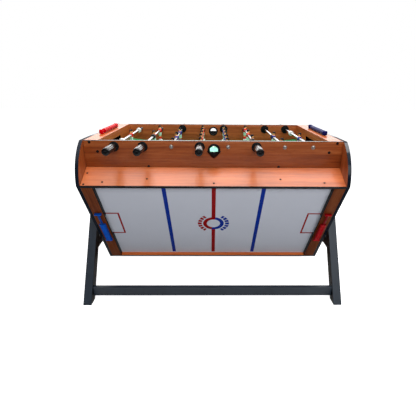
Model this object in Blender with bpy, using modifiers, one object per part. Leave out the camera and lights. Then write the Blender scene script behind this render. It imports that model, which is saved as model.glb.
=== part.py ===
"""Turning table with three game boxes, football, slide hockey and pool, between two A-frames."""

import math

import bmesh
import bpy
from mathutils import Matrix, Vector

# Turning body: three equal boxes round one axis, between two end panels
BODY_LENGTH = 1.220
FACE_WIDTH = 0.616
BOX_DEPTH = 0.123
PANEL_THICKNESS = 0.016
CORNER_BULGE = 0.027
WALL_THICKNESS = 0.012
END_RIM_WIDTH = 0.064
BOARD_THICKNESS = 0.009
PIVOT_HEIGHT = 0.558
FIT_GAP = 0.0003
CUT_OVERRUN = 0.004

# Stand
LEG_WIDTH = 0.044
LEG_DEPTH = 0.048
LEG_LEAN = math.radians(32)
LEG_PANEL_GAP = 0.035
LEG_PEAK = 0.030
CROSSBAR_HEIGHT = 0.050
CROSSBAR_THICKNESS = 0.030
CROSSBAR_DROP = 0.320
STRETCHER_HEIGHT = 0.052
STRETCHER_THICKNESS = 0.020
STRETCHER_CLEARANCE = 0.025
PIVOT_RADIUS = 0.012
PIVOT_CLEARANCE = 0.0008
LOCK_RADIUS = 0.005
LOCK_CLEARANCE = 0.0005
LOCK_PAD_RADIUS = 0.014
LOCK_PAD_LENGTH = 0.012
LOCK_KNOB_RADIUS = 0.019
LOCK_KNOB_LENGTH = 0.022

# Football box
PITCH_DEPTH = 0.100
RAMP_LENGTH = 0.105
RAMP_RISE = 0.012
GOAL_WIDTH = 0.150
GOAL_HEIGHT = 0.065
END_RIM_THICKNESS = 0.016
ROD_DROP = 0.028
ROD_SPACING_SHARE = 0.2462
TUBE_RADIUS = 0.0065
BORE_RADIUS = 0.0051
INNER_ROD_RADIUS = 0.0046
TUBE_CLEARANCE = 0.0006
BUSHING_RADIUS = 0.0235
BUSHING_OUTSIDE = 0.005
BUSHING_INSIDE = 0.004
ROD_CAP_RADIUS = 0.0068
ROD_CAP_LENGTH = 0.006
ROD_COLLAR_RADIUS = 0.009
ROD_COLLAR_LENGTH = 0.003
INNER_ROD_SHORTFALL = 0.020
HANDLE_RADIUS = 0.017
HANDLE_LENGTH = 0.111
HANDLE_SOCKET = 0.060
HANDLE_STANDOFF = 0.010
HANDLE_CHAMFER = 0.004
BUMPER_RADIUS = 0.013
BUMPER_LENGTH = 0.022
STOP_RADIUS = 0.014
STOP_LENGTH = 0.020

# Ball-feed cups in the football side walls
CUP_DROP = 0.042
CUP_RADIUS = 0.029
CUP_SLEEVE_RADIUS = 0.0225
CUP_BORE_RADIUS = 0.019
CUP_FLANGE = 0.003
CUP_SCOOP_REACH = 0.026
CUP_SCOOP_WALL = 0.003

# Hockey box
HOCKEY_DEPTH = 0.020
HOCKEY_GOAL_WIDTH = 0.160
HOCKEY_GOAL_HEIGHT = 0.014
HOCKEY_GOAL_DEPTH = 0.042
HOCKEY_RIM_WIDTH = 0.054

# Pool box
POOL_DEPTH = 0.038
POOL_RAIL_WIDTH = 0.062
POCKET_RADIUS = 0.027
POCKET_WALL = 0.004
POCKET_DEPTH = 0.048

# Score counters
COUNTER_INSET = 0.028
FOOTBALL_COUNTER_LENGTH = 0.270
FOOTBALL_CAP_LENGTH = 0.014
FOOTBALL_CAP_WIDTH = 0.024
FOOTBALL_BAR_RADIUS = 0.0045
FOOTBALL_BORE_RADIUS = 0.0052
FOOTBALL_BEAD_RADIUS = 0.011
FOOTBALL_BEAD_LENGTH = 0.0215
HOCKEY_COUNTER_LENGTH = 0.234
HOCKEY_CAP_LENGTH = 0.008
HOCKEY_CAP_WIDTH = 0.036
HOCKEY_BAR_RADIUS = 0.0065
HOCKEY_BORE_RADIUS = 0.0075
HOCKEY_BEAD_RADIUS = 0.0175
HOCKEY_BEAD_LENGTH = 0.0139
# A hockey counter is flat: the height of its bar and beads as a share of their width
HOCKEY_FLAT_SHARE = 0.40
BEADS = 10
BEAD_GROOVE = 0.0015
BEAD_LIFT = 0.001

# Men on the rods
MAN_BELOW = 0.060
MAN_ABOVE = 0.031
MAN_DEPTH = 0.021
MAN_WIDTH = 0.023
# From the sole up: height share, then depth, width and forward shares
MAN_RING_SHARES = (
    (0.00, 1.20, 0.80, 0.20),
    (0.10, 1.10, 0.80, 0.12),
    (0.18, 0.55, 0.60, 0.00),
    (0.46, 0.74, 0.84, 0.00),
    (0.70, 0.96, 1.00, 0.00),
    (0.77, 0.60, 0.92, 0.00),
    (0.79, 0.42, 0.42, 0.00),
    (0.85, 0.80, 0.66, 0.04),
    (0.95, 0.82, 0.66, 0.02),
    (1.00, 0.50, 0.40, 0.00),
)
MAN_FACE_SHARE = 0.6
GOALKEEPER_STOP_SHARE = 0.6554

# One row a rod, left to right: handle side (-1 front, 1 rear), men, their spacing and their rest offset
# towards the handle as shares of the inner half width, and the colour of the men
ROD_SHARES = (
    (-1, 1, 0.0000, -0.0946, "red"),
    (-1, 2, 0.7095, -0.3649, "red"),
    (1, 3, 0.6081, -0.1892, "blue"),
    (-1, 5, 0.3716, -0.0270, "red"),
    (1, 5, 0.3716, -0.0270, "blue"),
    (-1, 3, 0.6081, -0.1892, "red"),
    (1, 2, 0.7095, -0.4223, "blue"),
    (1, 1, 0.0000, -0.2027, "blue"),
)

HALF_WIDTH = FACE_WIDTH / 2
INNER_DISTANCE = HALF_WIDTH / math.sqrt(3)
RIM = BOX_DEPTH + INNER_DISTANCE
WALL_FOOT = INNER_DISTANCE + FIT_GAP
PANEL_OUTSIDE = BODY_LENGTH / 2
BOARD_END = PANEL_OUTSIDE - PANEL_THICKNESS - FIT_GAP
FIELD_END = BOARD_END - END_RIM_WIDTH
HOCKEY_END = BOARD_END - HOCKEY_RIM_WIDTH
INSIDE = HALF_WIDTH - WALL_THICKNESS
BOARD_SIDE = INSIDE - FIT_GAP
PITCH_TOP = RIM - PITCH_DEPTH
ROD_LEVEL = RIM - ROD_DROP
FIELD_TOP = RIM - HOCKEY_DEPTH
BED_TOP = RIM - POOL_DEPTH
CUP_LEVEL = RIM - CUP_DROP
COUNTER_PLACE = BOARD_END - COUNTER_INSET
LEG_INSIDE = PANEL_OUTSIDE + LEG_PANEL_GAP
LEG_OUTSIDE = LEG_INSIDE + LEG_WIDTH

ROUND = 12
OCTAGON = 8

COLOURS = {
    "leg": ((0.035, 0.045, 0.055), 0.45, 0.0),
    "wood": ((0.23, 0.07, 0.025), 0.40, 0.0),
    "black_plastic": ((0.012, 0.012, 0.014), 0.35, 0.0),
    "steel": ((0.62, 0.63, 0.65), 0.22, 1.0),
    "green": ((0.0, 0.21, 0.08), 0.55, 0.0),
    "white": ((0.62, 0.64, 0.68), 0.30, 0.0),
    "cloth": ((0.01, 0.16, 0.07), 0.85, 0.0),
    "red": ((0.55, 0.01, 0.02), 0.32, 0.0),
    "blue": ((0.01, 0.06, 0.42), 0.32, 0.0),
    "navy": ((0.01, 0.015, 0.13), 0.32, 0.0),
}


def clear_scene():
    for obj in list(bpy.data.objects):
        bpy.data.objects.remove(obj, do_unlink=True)


def new_collection(name):
    collection = bpy.data.collections.new(name)
    bpy.context.scene.collection.children.link(collection)
    return collection


def material(name):
    """A Principled material for one finish, made once."""
    if name in bpy.data.materials:
        return bpy.data.materials[name]
    colour, roughness, metallic = COLOURS[name]
    made = bpy.data.materials.new(name)
    made.use_nodes = True
    shader = made.node_tree.nodes["Principled BSDF"]
    shader.inputs["Base Color"].default_value = (*colour, 1.0)
    shader.inputs["Roughness"].default_value = roughness
    shader.inputs["Metallic"].default_value = metallic
    return made


def empty(name, parent=None, location=(0, 0, 0), turn=(0, 0, 0)):
    obj = bpy.data.objects.new(name, None)
    PARTS.objects.link(obj)
    obj.parent = parent
    obj.location = location
    obj.rotation_euler = turn
    return obj


def place(name, data, parent, location=(0, 0, 0), turn=(0, 0, 0), finish=None):
    """A sub-part from its mesh or curve, or a hidden cutter where it has no finish."""
    obj = bpy.data.objects.new(name, data)
    obj.parent = parent
    obj.location = location
    obj.rotation_euler = turn
    if finish is None:
        CUTTERS.objects.link(obj)
        obj.hide_render = True
        obj.display_type = "WIRE"
    else:
        PARTS.objects.link(obj)
        data.materials.append(material(finish))
    return obj


def mesh_of(name, bm):
    data = bpy.data.meshes.new(name)
    bm.to_mesh(data)
    bm.free()
    return data


def board(name, low, high, parent, finish=None):
    """A rectangular board from its lowest to its highest corner in its parent's frame."""
    low, high = Vector(low), Vector(high)
    bm = bmesh.new()
    bmesh.ops.create_cube(bm, size=1, matrix=Matrix.Diagonal((*(high - low), 1)))
    return place(name, mesh_of(name, bm), parent, (low + high) / 2, finish=finish)


def rods_mesh(name, places, radius, length, along, segments=ROUND):
    """Equal round bars, each centred on one of the places, along an axis."""
    bm = bmesh.new()
    turn = Vector((0, 0, 1)).rotation_difference(Vector(along)).to_matrix().to_4x4()
    for point in places:
        bmesh.ops.create_cone(
            bm,
            cap_ends=True,
            segments=segments,
            radius1=radius,
            radius2=radius,
            depth=length,
            matrix=Matrix.Translation(point) @ turn,
        )
    return mesh_of(name, bm)


def turned(name, profile, parent, location, turn, finish, steps=OCTAGON, ring=False):
    """A body turned about its own Z from a profile of (radius, height), outer side top to bottom."""
    data = bpy.data.meshes.new(name)
    edges = [(i, i + 1) for i in range(len(profile) - 1)]
    if ring:
        edges.append((len(profile) - 1, 0))
    data.from_pydata([(radius, 0, height) for radius, height in profile], edges, [])
    obj = place(name, data, parent, location, turn, finish)
    screw = obj.modifiers.new("Screw", "SCREW")
    screw.steps = screw.render_steps = steps
    screw.use_merge_vertices = True
    screw.merge_threshold = 0.0001
    return obj


def outline(name, points, thickness, parent, location, finish):
    """A flat plate in the YZ plane, centred on its own X, as a mesh made from a filled curve."""
    curve = bpy.data.curves.new(name, "CURVE")
    curve.dimensions = "2D"
    curve.fill_mode = "BOTH"
    curve.extrude = thickness / 2
    spline = curve.splines.new("POLY")
    spline.points.add(len(points) - 1)
    for point, (y, z) in zip(spline.points, points):
        point.co = (y, z, 0, 1)
    spline.use_cyclic_u = True
    sketch = bpy.data.objects.new(name + "_sketch", curve)
    PARTS.objects.link(sketch)
    graph = bpy.context.evaluated_depsgraph_get()
    data = bpy.data.meshes.new_from_object(sketch.evaluated_get(graph))
    data.name = name
    bpy.data.objects.remove(sketch, do_unlink=True)
    bm = bmesh.new()
    bm.from_mesh(data)
    bmesh.ops.remove_doubles(bm, verts=bm.verts, dist=FIT_GAP / 10)
    bm.transform(Matrix(((0, 0, 1, 0), (1, 0, 0, 0), (0, 1, 0, 0), (0, 0, 0, 1))))
    bmesh.ops.recalc_face_normals(bm, faces=bm.faces)
    bm.to_mesh(data)
    bm.free()
    return place(name, data, parent, location, finish=finish)


def combine(obj, other, operation):
    change = obj.modifiers.new(operation.title(), "BOOLEAN")
    change.operation = operation
    change.solver = "EXACT"
    change.object = other


def cut(obj, cutter):
    combine(obj, cutter, "DIFFERENCE")


def join(obj, other):
    combine(obj, other, "UNION")


def arc(start, end, bulge, steps):
    """Points of an arc from start to end that stands out by bulge, the last point left out."""
    start, end = Vector(start), Vector(end)
    half = (end - start).length / 2
    radius = (half * half + bulge * bulge) / (2 * bulge)
    middle = (start + end) / 2
    outwards = middle.normalized()
    centre = middle - outwards * (radius - bulge)
    reach = math.asin(half / radius)
    across = (end - start).normalized()
    points = []
    for i in range(steps):
        angle = reach * (2 * i / steps - 1)
        point = centre + radius * (outwards * math.cos(angle) + across * math.sin(angle))
        points.append(tuple(point))
    return points


def panel_outline():
    """The end panel's edge: three straight sides and three bulging corners."""
    points = []
    for turn in range(3):
        angle = turn * math.tau / 3
        corner = Vector((-HALF_WIDTH, RIM))
        corner.rotate(Matrix.Rotation(angle, 2))
        following = Vector((HALF_WIDTH, RIM))
        following.rotate(Matrix.Rotation(angle + math.tau / 3, 2))
        points += arc(corner, following, CORNER_BULGE, steps=6)
        points.append(tuple(following))
    return points


def end_panel(side, name):
    """An end panel with the stub that it turns on."""
    x = side * (PANEL_OUTSIDE - PANEL_THICKNESS / 2)
    panel = outline(name, panel_outline(), PANEL_THICKNESS, BODY, (x, 0, 0), "wood")
    length = LEG_OUTSIDE - PANEL_OUTSIDE + PANEL_THICKNESS / 2
    centre = side * (PANEL_OUTSIDE - PANEL_THICKNESS / 2 + length / 2)
    stub = rods_mesh(name + "_stub", [(centre, 0, 0)], PIVOT_RADIUS, length, (1, 0, 0))
    join(panel, place(name + "_stub", stub, BODY))


def side_walls(face, names, finish="wood"):
    """The two long walls of a box, at its lower and higher Y."""
    walls = []
    for side, name in zip((-1, 1), names):
        low = (-BOARD_END, min(side * HALF_WIDTH, side * INSIDE), WALL_FOOT)
        high = (BOARD_END, max(side * HALF_WIDTH, side * INSIDE), RIM)
        walls.append(board(name, low, high, face, finish))
    return walls


def rod_x(index):
    return (index - (len(ROD_SHARES) - 1) / 2) * ROD_SPACING_SHARE * FIELD_END


def bushings(wall, side):
    """Raised bushings and rod holes of one football wall, and the plain holes of the far rods."""
    handles = [i for i, rod in enumerate(ROD_SHARES) if rod[0] == side]
    far = [i for i, rod in enumerate(ROD_SHARES) if rod[0] != side]
    length = BUSHING_OUTSIDE + WALL_THICKNESS + BUSHING_INSIDE
    y = side * (HALF_WIDTH + BUSHING_OUTSIDE - length / 2)
    discs = rods_mesh(
        wall.name + "_bushings",
        [(rod_x(i), y, ROD_LEVEL) for i in handles],
        BUSHING_RADIUS,
        length,
        (0, 1, 0),
    )
    join(wall, place(wall.name + "_bushings", discs, FOOTBALL))
    for label, chosen, radius in (("rod", handles, TUBE_RADIUS), ("end", far, INNER_ROD_RADIUS)):
        holes = rods_mesh(
            f"{wall.name}_{label}_holes",
            [(rod_x(i), y, ROD_LEVEL) for i in chosen],
            (radius + TUBE_CLEARANCE) / math.cos(math.pi / ROUND),
            length + 2 * CUT_OVERRUN,
            (0, 1, 0),
        )
        cut(wall, place(f"{wall.name}_{label}_holes", holes, FOOTBALL))


def ball_cup(wall, side):
    """A ball-feed cup: a sleeve through the wall, a flange and a half-round scoop outside."""
    hole = rods_mesh(
        wall.name + "_cup_hole",
        [(0, side * (HALF_WIDTH + INSIDE) / 2, CUP_LEVEL)],
        (CUP_SLEEVE_RADIUS + FIT_GAP) / math.cos(math.pi / ROUND),
        WALL_THICKNESS + 2 * CUT_OVERRUN,
        (0, 1, 0),
    )
    cut(wall, place(wall.name + "_cup_hole", hole, FOOTBALL))
    name = "ball_cup_front" if side < 0 else "ball_cup_rear"
    top = CUP_FLANGE + FIT_GAP
    profile = (
        (CUP_BORE_RADIUS, top),
        (CUP_RADIUS, top),
        (CUP_RADIUS, FIT_GAP),
        (CUP_SLEEVE_RADIUS, FIT_GAP),
        (CUP_SLEEVE_RADIUS, -WALL_THICKNESS),
        (CUP_BORE_RADIUS, -WALL_THICKNESS),
    )
    turn = (side * -math.pi / 2, 0, 0)
    location = (0, side * HALF_WIDTH, CUP_LEVEL)
    cup = turned(name, profile, FOOTBALL, location, turn, "black_plastic", ROUND, ring=True)
    join(cup, scoop(name, side))


def scoop(name, side):
    """The scoop: the lower half of a shallow bowl that opens upwards."""
    squash = CUP_SCOOP_REACH / CUP_RADIUS
    bowl = bowl_mesh(name + "_bowl", CUP_RADIUS, squash)
    base = side * (HALF_WIDTH + FIT_GAP + CUP_FLANGE / 2)
    outer = place(name + "_scoop", bowl, FOOTBALL, (0, base, CUP_LEVEL))
    hollow = bowl_mesh(name + "_hollow", CUP_RADIUS - CUP_SCOOP_WALL, squash)
    cut(outer, place(name + "_hollow", hollow, FOOTBALL, (0, base, CUP_LEVEL)))
    reach = CUP_RADIUS + CUT_OVERRUN
    inner, outside = sorted((base, side * -reach + base))
    keep_out = board(
        name + "_inside_cut",
        (-reach, inner, CUP_LEVEL - reach),
        (reach, outside, CUP_LEVEL + reach),
        FOOTBALL,
    )
    cut(outer, keep_out)
    near, far = sorted((base - side * reach, base + side * reach))
    upper = board(
        name + "_upper_cut", (-reach, near, CUP_LEVEL), (reach, far, CUP_LEVEL + reach), FOOTBALL
    )
    cut(outer, upper)
    return outer


def bowl_mesh(name, radius, squash):
    bm = bmesh.new()
    bmesh.ops.create_uvsphere(bm, u_segments=ROUND, v_segments=OCTAGON, radius=radius)
    bmesh.ops.scale(bm, vec=(1, squash, 1), verts=bm.verts)
    return mesh_of(name, bm)


def pitch():
    """The football pitch, with a ramp rising into each corner."""
    base = board(
        "pitch",
        (-BOARD_END, -BOARD_SIDE, PITCH_TOP - BOARD_THICKNESS),
        (BOARD_END, BOARD_SIDE, PITCH_TOP),
        FOOTBALL,
        "green",
    )
    bm = bmesh.new()
    for sx in (-1, 1):
        for sy in (-1, 1):
            x, y = sx * (FIELD_END - FIT_GAP), sy * BOARD_SIDE
            flat = [(x, y), (x - sx * RAMP_LENGTH, y), (x, y - sy * RAMP_LENGTH)]
            points = [(*p, PITCH_TOP - BOARD_THICKNESS / 2) for p in flat]
            points += [(*p, PITCH_TOP) for p in flat[1:]]
            points.append((x, y, PITCH_TOP + RAMP_RISE))
            verts = [bm.verts.new(p) for p in points]
            bmesh.ops.convex_hull(bm, input=verts)
    join(base, place("pitch_ramps", mesh_of("pitch_ramps", bm), FOOTBALL))


def football_end(side, name):
    """The goal wall and the rim board over the goal box behind it."""
    inner, outer = sorted((side * FIELD_END, side * BOARD_END))
    rim = board(
        name,
        (inner, -BOARD_SIDE, RIM - END_RIM_THICKNESS),
        (outer, BOARD_SIDE, RIM),
        FOOTBALL,
        "wood",
    )
    inner, outer = sorted((side * FIELD_END, side * (FIELD_END + WALL_THICKNESS)))
    top = RIM - END_RIM_THICKNESS / 2
    wall = board(
        name + "_wall", (inner, -BOARD_SIDE, PITCH_TOP + FIT_GAP), (outer, BOARD_SIDE, top), FOOTBALL
    )
    join(rim, wall)
    goal = board(
        name + "_goal",
        (inner - CUT_OVERRUN, -GOAL_WIDTH / 2, PITCH_TOP - CUT_OVERRUN),
        (outer + CUT_OVERRUN, GOAL_WIDTH / 2, PITCH_TOP + GOAL_HEIGHT),
        FOOTBALL,
    )
    cut(rim, goal)


def men_mesh(name, places, facing):
    """Men as lofts of six-sided sections, from the sole to the crown, about the rod's axis."""
    bm = bmesh.new()
    height = MAN_BELOW + MAN_ABOVE
    for middle in places:
        rings = []
        for level, depth, width, forward in MAN_RING_SHARES:
            x, y = MAN_DEPTH * depth / 2, MAN_WIDTH * width / 2
            flat = MAN_FACE_SHARE * y
            shift = facing * MAN_DEPTH * forward
            z = height * level - MAN_BELOW
            section = ((x, -flat), (x, flat), (0, y), (-x, flat), (-x, -flat), (0, -y))
            rings.append([bm.verts.new((a + shift, middle + b, z)) for a, b in section])
        for lower, upper in zip(rings, rings[1:]):
            for i, vert in enumerate(lower):
                after = (i + 1) % len(lower)
                bm.faces.new((vert, lower[after], upper[after], upper[i]))
        bm.faces.new(reversed(rings[0]))
        bm.faces.new(rings[-1])
    return mesh_of(name, bm)


def rod_stops(men, spacing, offset):
    """The bumpers beside the outer men, or a goalkeeper's stop collars, as (start, end, radius)."""
    if men == 1:
        reach = GOALKEEPER_STOP_SHARE * INSIDE
        middle = offset - reach, offset + reach
        return [(m - STOP_LENGTH / 2, m + STOP_LENGTH / 2, STOP_RADIUS) for m in middle]
    reach = (men - 1) * spacing / 2 + MAN_WIDTH / 2 + FIT_GAP
    low, high = offset - reach, offset + reach
    return [(low - BUMPER_LENGTH, low, BUMPER_RADIUS), (high, high + BUMPER_LENGTH, BUMPER_RADIUS)]


def football_rod(index):
    """One telescopic rod: inner rod, tube with its men and stops, and handle. Its Y points to the handle."""
    side, men, spacing_share, offset_share, colour = ROD_SHARES[index]
    spacing, offset = spacing_share * INSIDE, offset_share * INSIDE
    number = index + 1
    spin = 0 if side > 0 else math.pi
    axis = empty(f"rod_axis_{number}", FOOTBALL, (rod_x(index), 0, ROD_LEVEL), (0, 0, spin))
    along_y = (-math.pi / 2, 0, 0)

    cap_start = -HALF_WIDTH - FIT_GAP
    inner_end = INSIDE - INNER_ROD_SHORTFALL
    collar = -INSIDE + FIT_GAP
    profile = (
        (0, inner_end),
        (INNER_ROD_RADIUS, inner_end),
        (INNER_ROD_RADIUS, collar + ROD_COLLAR_LENGTH),
        (ROD_COLLAR_RADIUS, collar + ROD_COLLAR_LENGTH),
        (ROD_COLLAR_RADIUS, collar),
        (INNER_ROD_RADIUS, collar),
        (INNER_ROD_RADIUS, cap_start),
        (ROD_CAP_RADIUS, cap_start),
        (ROD_CAP_RADIUS, cap_start - ROD_CAP_LENGTH),
        (0, cap_start - ROD_CAP_LENGTH),
    )
    turned(f"inner_rod_{number}", profile, axis, (0, 0, 0), along_y, "steel")

    grip_start = HALF_WIDTH + BUSHING_OUTSIDE + HANDLE_STANDOFF
    (far_low, far_high, far_radius), (near_low, near_high, near_radius) = rod_stops(men, spacing, offset)
    tube_end = grip_start + HANDLE_SOCKET - FIT_GAP
    profile = (
        (0, tube_end),
        (TUBE_RADIUS, tube_end),
        (TUBE_RADIUS, near_high),
        (near_radius, near_high),
        (near_radius, near_low),
        (TUBE_RADIUS, near_low),
        (TUBE_RADIUS, far_high),
        (far_radius, far_high),
        (far_radius, far_low),
        (0, far_low),
    )
    tube = turned(f"rod_{number}_tube_and_men", profile, axis, (0, 0, 0), along_y, colour)
    places = [offset + (i - (men - 1) / 2) * spacing for i in range(men)]
    facing = side * (1 if colour == "red" else -1)
    name = f"rod_{number}_men"
    join(tube, place(name, men_mesh(name, places, facing), axis))
    middle, length = (tube_end + far_low) / 2, tube_end - far_low + 2 * CUT_OVERRUN
    bore = rods_mesh(f"rod_{number}_bore", [(0, middle, 0)], BORE_RADIUS, length, (0, 1, 0), OCTAGON)
    cut(tube, place(f"rod_{number}_bore", bore, axis))

    grip_end = grip_start + HANDLE_LENGTH
    socket = (TUBE_RADIUS + FIT_GAP) / math.cos(math.pi / OCTAGON)
    profile = (
        (0, grip_end),
        (HANDLE_RADIUS - HANDLE_CHAMFER, grip_end),
        (HANDLE_RADIUS, grip_end - HANDLE_CHAMFER),
        (HANDLE_RADIUS, grip_start + HANDLE_CHAMFER),
        (HANDLE_RADIUS - HANDLE_CHAMFER, grip_start),
        (socket, grip_start),
        (socket, grip_start + HANDLE_SOCKET),
        (0, grip_start + HANDLE_SOCKET),
    )
    turned(f"handle_{number}", profile, axis, (0, 0, 0), along_y, "black_plastic")


def hockey():
    """The sloping slide-hockey box: field and two end boards with a goal slot each."""
    side_walls(HOCKEY, ("hockey_wall_lower", "hockey_wall_upper"))
    board(
        "hockey_field",
        (-BOARD_END, -BOARD_SIDE, FIELD_TOP - BOARD_THICKNESS),
        (BOARD_END, BOARD_SIDE, FIELD_TOP),
        HOCKEY,
        "white",
    )
    for side, name in ((-1, "hockey_end_left"), (1, "hockey_end_right")):
        inner, outer = sorted((side * HOCKEY_END, side * BOARD_END))
        end = board(
            name, (inner, -BOARD_SIDE, FIELD_TOP + FIT_GAP), (outer, BOARD_SIDE, RIM), HOCKEY, "wood"
        )
        near, far = sorted((side * (HOCKEY_END - CUT_OVERRUN), side * (HOCKEY_END + HOCKEY_GOAL_DEPTH)))
        slot = board(
            name + "_slot",
            (near, -HOCKEY_GOAL_WIDTH / 2, FIELD_TOP - CUT_OVERRUN),
            (far, HOCKEY_GOAL_WIDTH / 2, FIELD_TOP + HOCKEY_GOAL_HEIGHT),
            HOCKEY,
        )
        cut(end, slot)


def pool():
    """The pool box: a bed with six pocket cups under one rail frame."""
    side_walls(POOL, ("pool_wall_upper", "pool_wall_lower"))
    bed = board(
        "pool_bed",
        (-BOARD_END, -BOARD_SIDE, BED_TOP - BOARD_THICKNESS),
        (BOARD_END, BOARD_SIDE, BED_TOP),
        POOL,
        "cloth",
    )
    frame = board(
        "pool_rail_frame",
        (-BOARD_END, -BOARD_SIDE, BED_TOP + FIT_GAP),
        (BOARD_END, BOARD_SIDE, RIM),
        POOL,
        "wood",
    )
    length, width = BOARD_END - POOL_RAIL_WIDTH, BOARD_SIDE - POOL_RAIL_WIDTH
    opening = board(
        "pool_frame_opening",
        (-length, -width, BED_TOP - CUT_OVERRUN),
        (length, width, RIM + CUT_OVERRUN),
        POOL,
    )
    cut(frame, opening)
    places = [(x, y, 0) for x in (-length, 0, length) for y in (-width, width)]
    cup_bottom = BED_TOP - POCKET_DEPTH
    height = POCKET_DEPTH - BOARD_THICKNESS / 2
    cups = rods_mesh("pocket_cups", places, POCKET_RADIUS + POCKET_WALL, height, (0, 0, 1))
    join(bed, place("pocket_cups", cups, POOL, (0, 0, cup_bottom + height / 2)))
    height = RIM + CUT_OVERRUN - cup_bottom - POCKET_WALL
    holes = rods_mesh("pocket_holes", places, POCKET_RADIUS, height, (0, 0, 1))
    holes = place("pocket_holes", holes, POOL, (0, 0, RIM + CUT_OVERRUN - height / 2))
    cut(bed, holes)
    cut(frame, holes)


def counter(name, face, side, lean, sizes, finish):
    """A score counter along the end rim: a bar with two caps, and ten beads pushed to one end."""
    length, cap_length, cap_width, bar_radius, bore_radius, bead_radius, bead_length, flat = sizes
    x = side * COUNTER_PLACE
    level = RIM + FIT_GAP + BEAD_LIFT + bead_radius * flat
    half = length / 2
    caps = []
    for end in (-1, 1):
        low, high = sorted((end * half, end * (half - cap_length)))
        caps.append(
            board(
                f"{name}_rail" if end < 0 else f"{name}_cap",
                (x - cap_width / 2, low, RIM + FIT_GAP),
                (x + cap_width / 2, high, level + bead_radius * flat),
                face,
                finish if end < 0 else None,
            )
        )
    rail, cap = caps
    bar = rods_mesh(name + "_bar", [(0, 0, 0)], bar_radius, length - cap_length, (0, 1, 0), OCTAGON)
    bar = place(name + "_bar", bar, face, (x, 0, level))
    bar.scale.z = flat
    join(rail, bar)
    join(rail, cap)

    row = BEADS * bead_length
    start = -row / 2
    profile = []
    for i in range(BEADS):
        top = row / 2 - i * bead_length
        profile += [
            (bead_radius - BEAD_GROOVE, top),
            (bead_radius, top - BEAD_GROOVE),
            (bead_radius, top - bead_length + BEAD_GROOVE),
        ]
    profile.append((bead_radius - BEAD_GROOVE, start))
    bore = bore_radius / math.cos(math.pi / OCTAGON)
    profile += [(bore, start), (bore, row / 2)]
    seat = half - cap_length - FIT_GAP - row / 2
    location = (x, lean * seat, level)
    beads = turned(name + "_beads", profile, face, location, (-math.pi / 2, 0, 0), finish, ring=True)
    beads.scale.y = flat


def counters():
    football = (
        FOOTBALL_COUNTER_LENGTH,
        FOOTBALL_CAP_LENGTH,
        FOOTBALL_CAP_WIDTH,
        FOOTBALL_BAR_RADIUS,
        FOOTBALL_BORE_RADIUS,
        FOOTBALL_BEAD_RADIUS,
        FOOTBALL_BEAD_LENGTH,
        1,
    )
    slide = (
        HOCKEY_COUNTER_LENGTH,
        HOCKEY_CAP_LENGTH,
        HOCKEY_CAP_WIDTH,
        HOCKEY_BAR_RADIUS,
        HOCKEY_BORE_RADIUS,
        HOCKEY_BEAD_RADIUS,
        HOCKEY_BEAD_LENGTH,
        HOCKEY_FLAT_SHARE,
    )
    counter("football_score_left", FOOTBALL, -1, 1, football, "red")
    counter("football_score_right", FOOTBALL, 1, -1, football, "navy")
    counter("hockey_score_left", HOCKEY, -1, -1, slide, "blue")
    counter("hockey_score_right", HOCKEY, 1, -1, slide, "red")


def leg_line(height, side):
    """Y of a front leg's front (side -1) or rear (side 1) face at a height above the pivot."""
    return height * math.tan(LEG_LEAN) + side * LEG_DEPTH / 2 / math.cos(LEG_LEAN)


def leg(side, front, name):
    """A leg, mitred against its partner at the pivot and cut level at the floor."""
    seam = -FIT_GAP / 2
    crotch = (seam - LEG_DEPTH / 2 / math.cos(LEG_LEAN)) / math.tan(LEG_LEAN)
    points = [
        (leg_line(-PIVOT_HEIGHT, -1), -PIVOT_HEIGHT),
        (leg_line(-PIVOT_HEIGHT, 1), -PIVOT_HEIGHT),
        (seam, crotch),
        (seam, LEG_PEAK),
        (leg_line(LEG_PEAK, -1), LEG_PEAK),
    ]
    points = [(-front * y, z) for y, z in points]
    x = side * (LEG_INSIDE + LEG_WIDTH / 2)
    made = outline(name, points, LEG_WIDTH, PIVOT, (x, 0, 0), "leg")
    hole = rods_mesh(
        name + "_bore",
        [(x, 0, 0)],
        (PIVOT_RADIUS + PIVOT_CLEARANCE) / math.cos(math.pi / ROUND),
        LEG_WIDTH + 2 * CUT_OVERRUN,
        (1, 0, 0),
    )
    cut(made, place(name + "_bore", hole, PIVOT))


def crossbar(side, name):
    """The level bar between the two legs of an A-frame, bored for the lock."""
    low, high = -CROSSBAR_DROP, -CROSSBAR_DROP + CROSSBAR_HEIGHT
    gap = FIT_GAP / math.cos(LEG_LEAN)
    points = [(leg_line(z, 1) + gap, z) for z in (low, high)]
    points += [(-y, z) for y, z in reversed(points)]
    x = side * (LEG_INSIDE + CROSSBAR_THICKNESS / 2)
    bar = outline(name, points, CROSSBAR_THICKNESS, PIVOT, (x, 0, 0), "leg")
    hole = rods_mesh(
        name + "_bore",
        [(x, 0, (low + high) / 2)],
        (LOCK_RADIUS + LOCK_CLEARANCE) / math.cos(math.pi / ROUND),
        CROSSBAR_THICKNESS + 2 * CUT_OVERRUN,
        (1, 0, 0),
    )
    cut(bar, place(name + "_bore", hole, PIVOT))


def lock(side, name):
    """The clamp of one A-frame: a pad against the end panel, a shaft through the crossbar and a knob."""
    level = -CROSSBAR_DROP + CROSSBAR_HEIGHT / 2
    pad = PANEL_OUTSIDE + FIT_GAP
    knob = LEG_INSIDE + CROSSBAR_THICKNESS + FIT_GAP
    profile = (
        (0, knob + LOCK_KNOB_LENGTH),
        (LOCK_KNOB_RADIUS, knob + LOCK_KNOB_LENGTH),
        (LOCK_KNOB_RADIUS, knob),
        (LOCK_RADIUS, knob),
        (LOCK_RADIUS, pad + LOCK_PAD_LENGTH),
        (LOCK_PAD_RADIUS, pad + LOCK_PAD_LENGTH),
        (LOCK_PAD_RADIUS, pad),
        (0, pad),
    )
    turned(name, profile, PIVOT, (0, 0, level), (0, side * math.pi / 2, 0), "black_plastic", ROUND)


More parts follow.
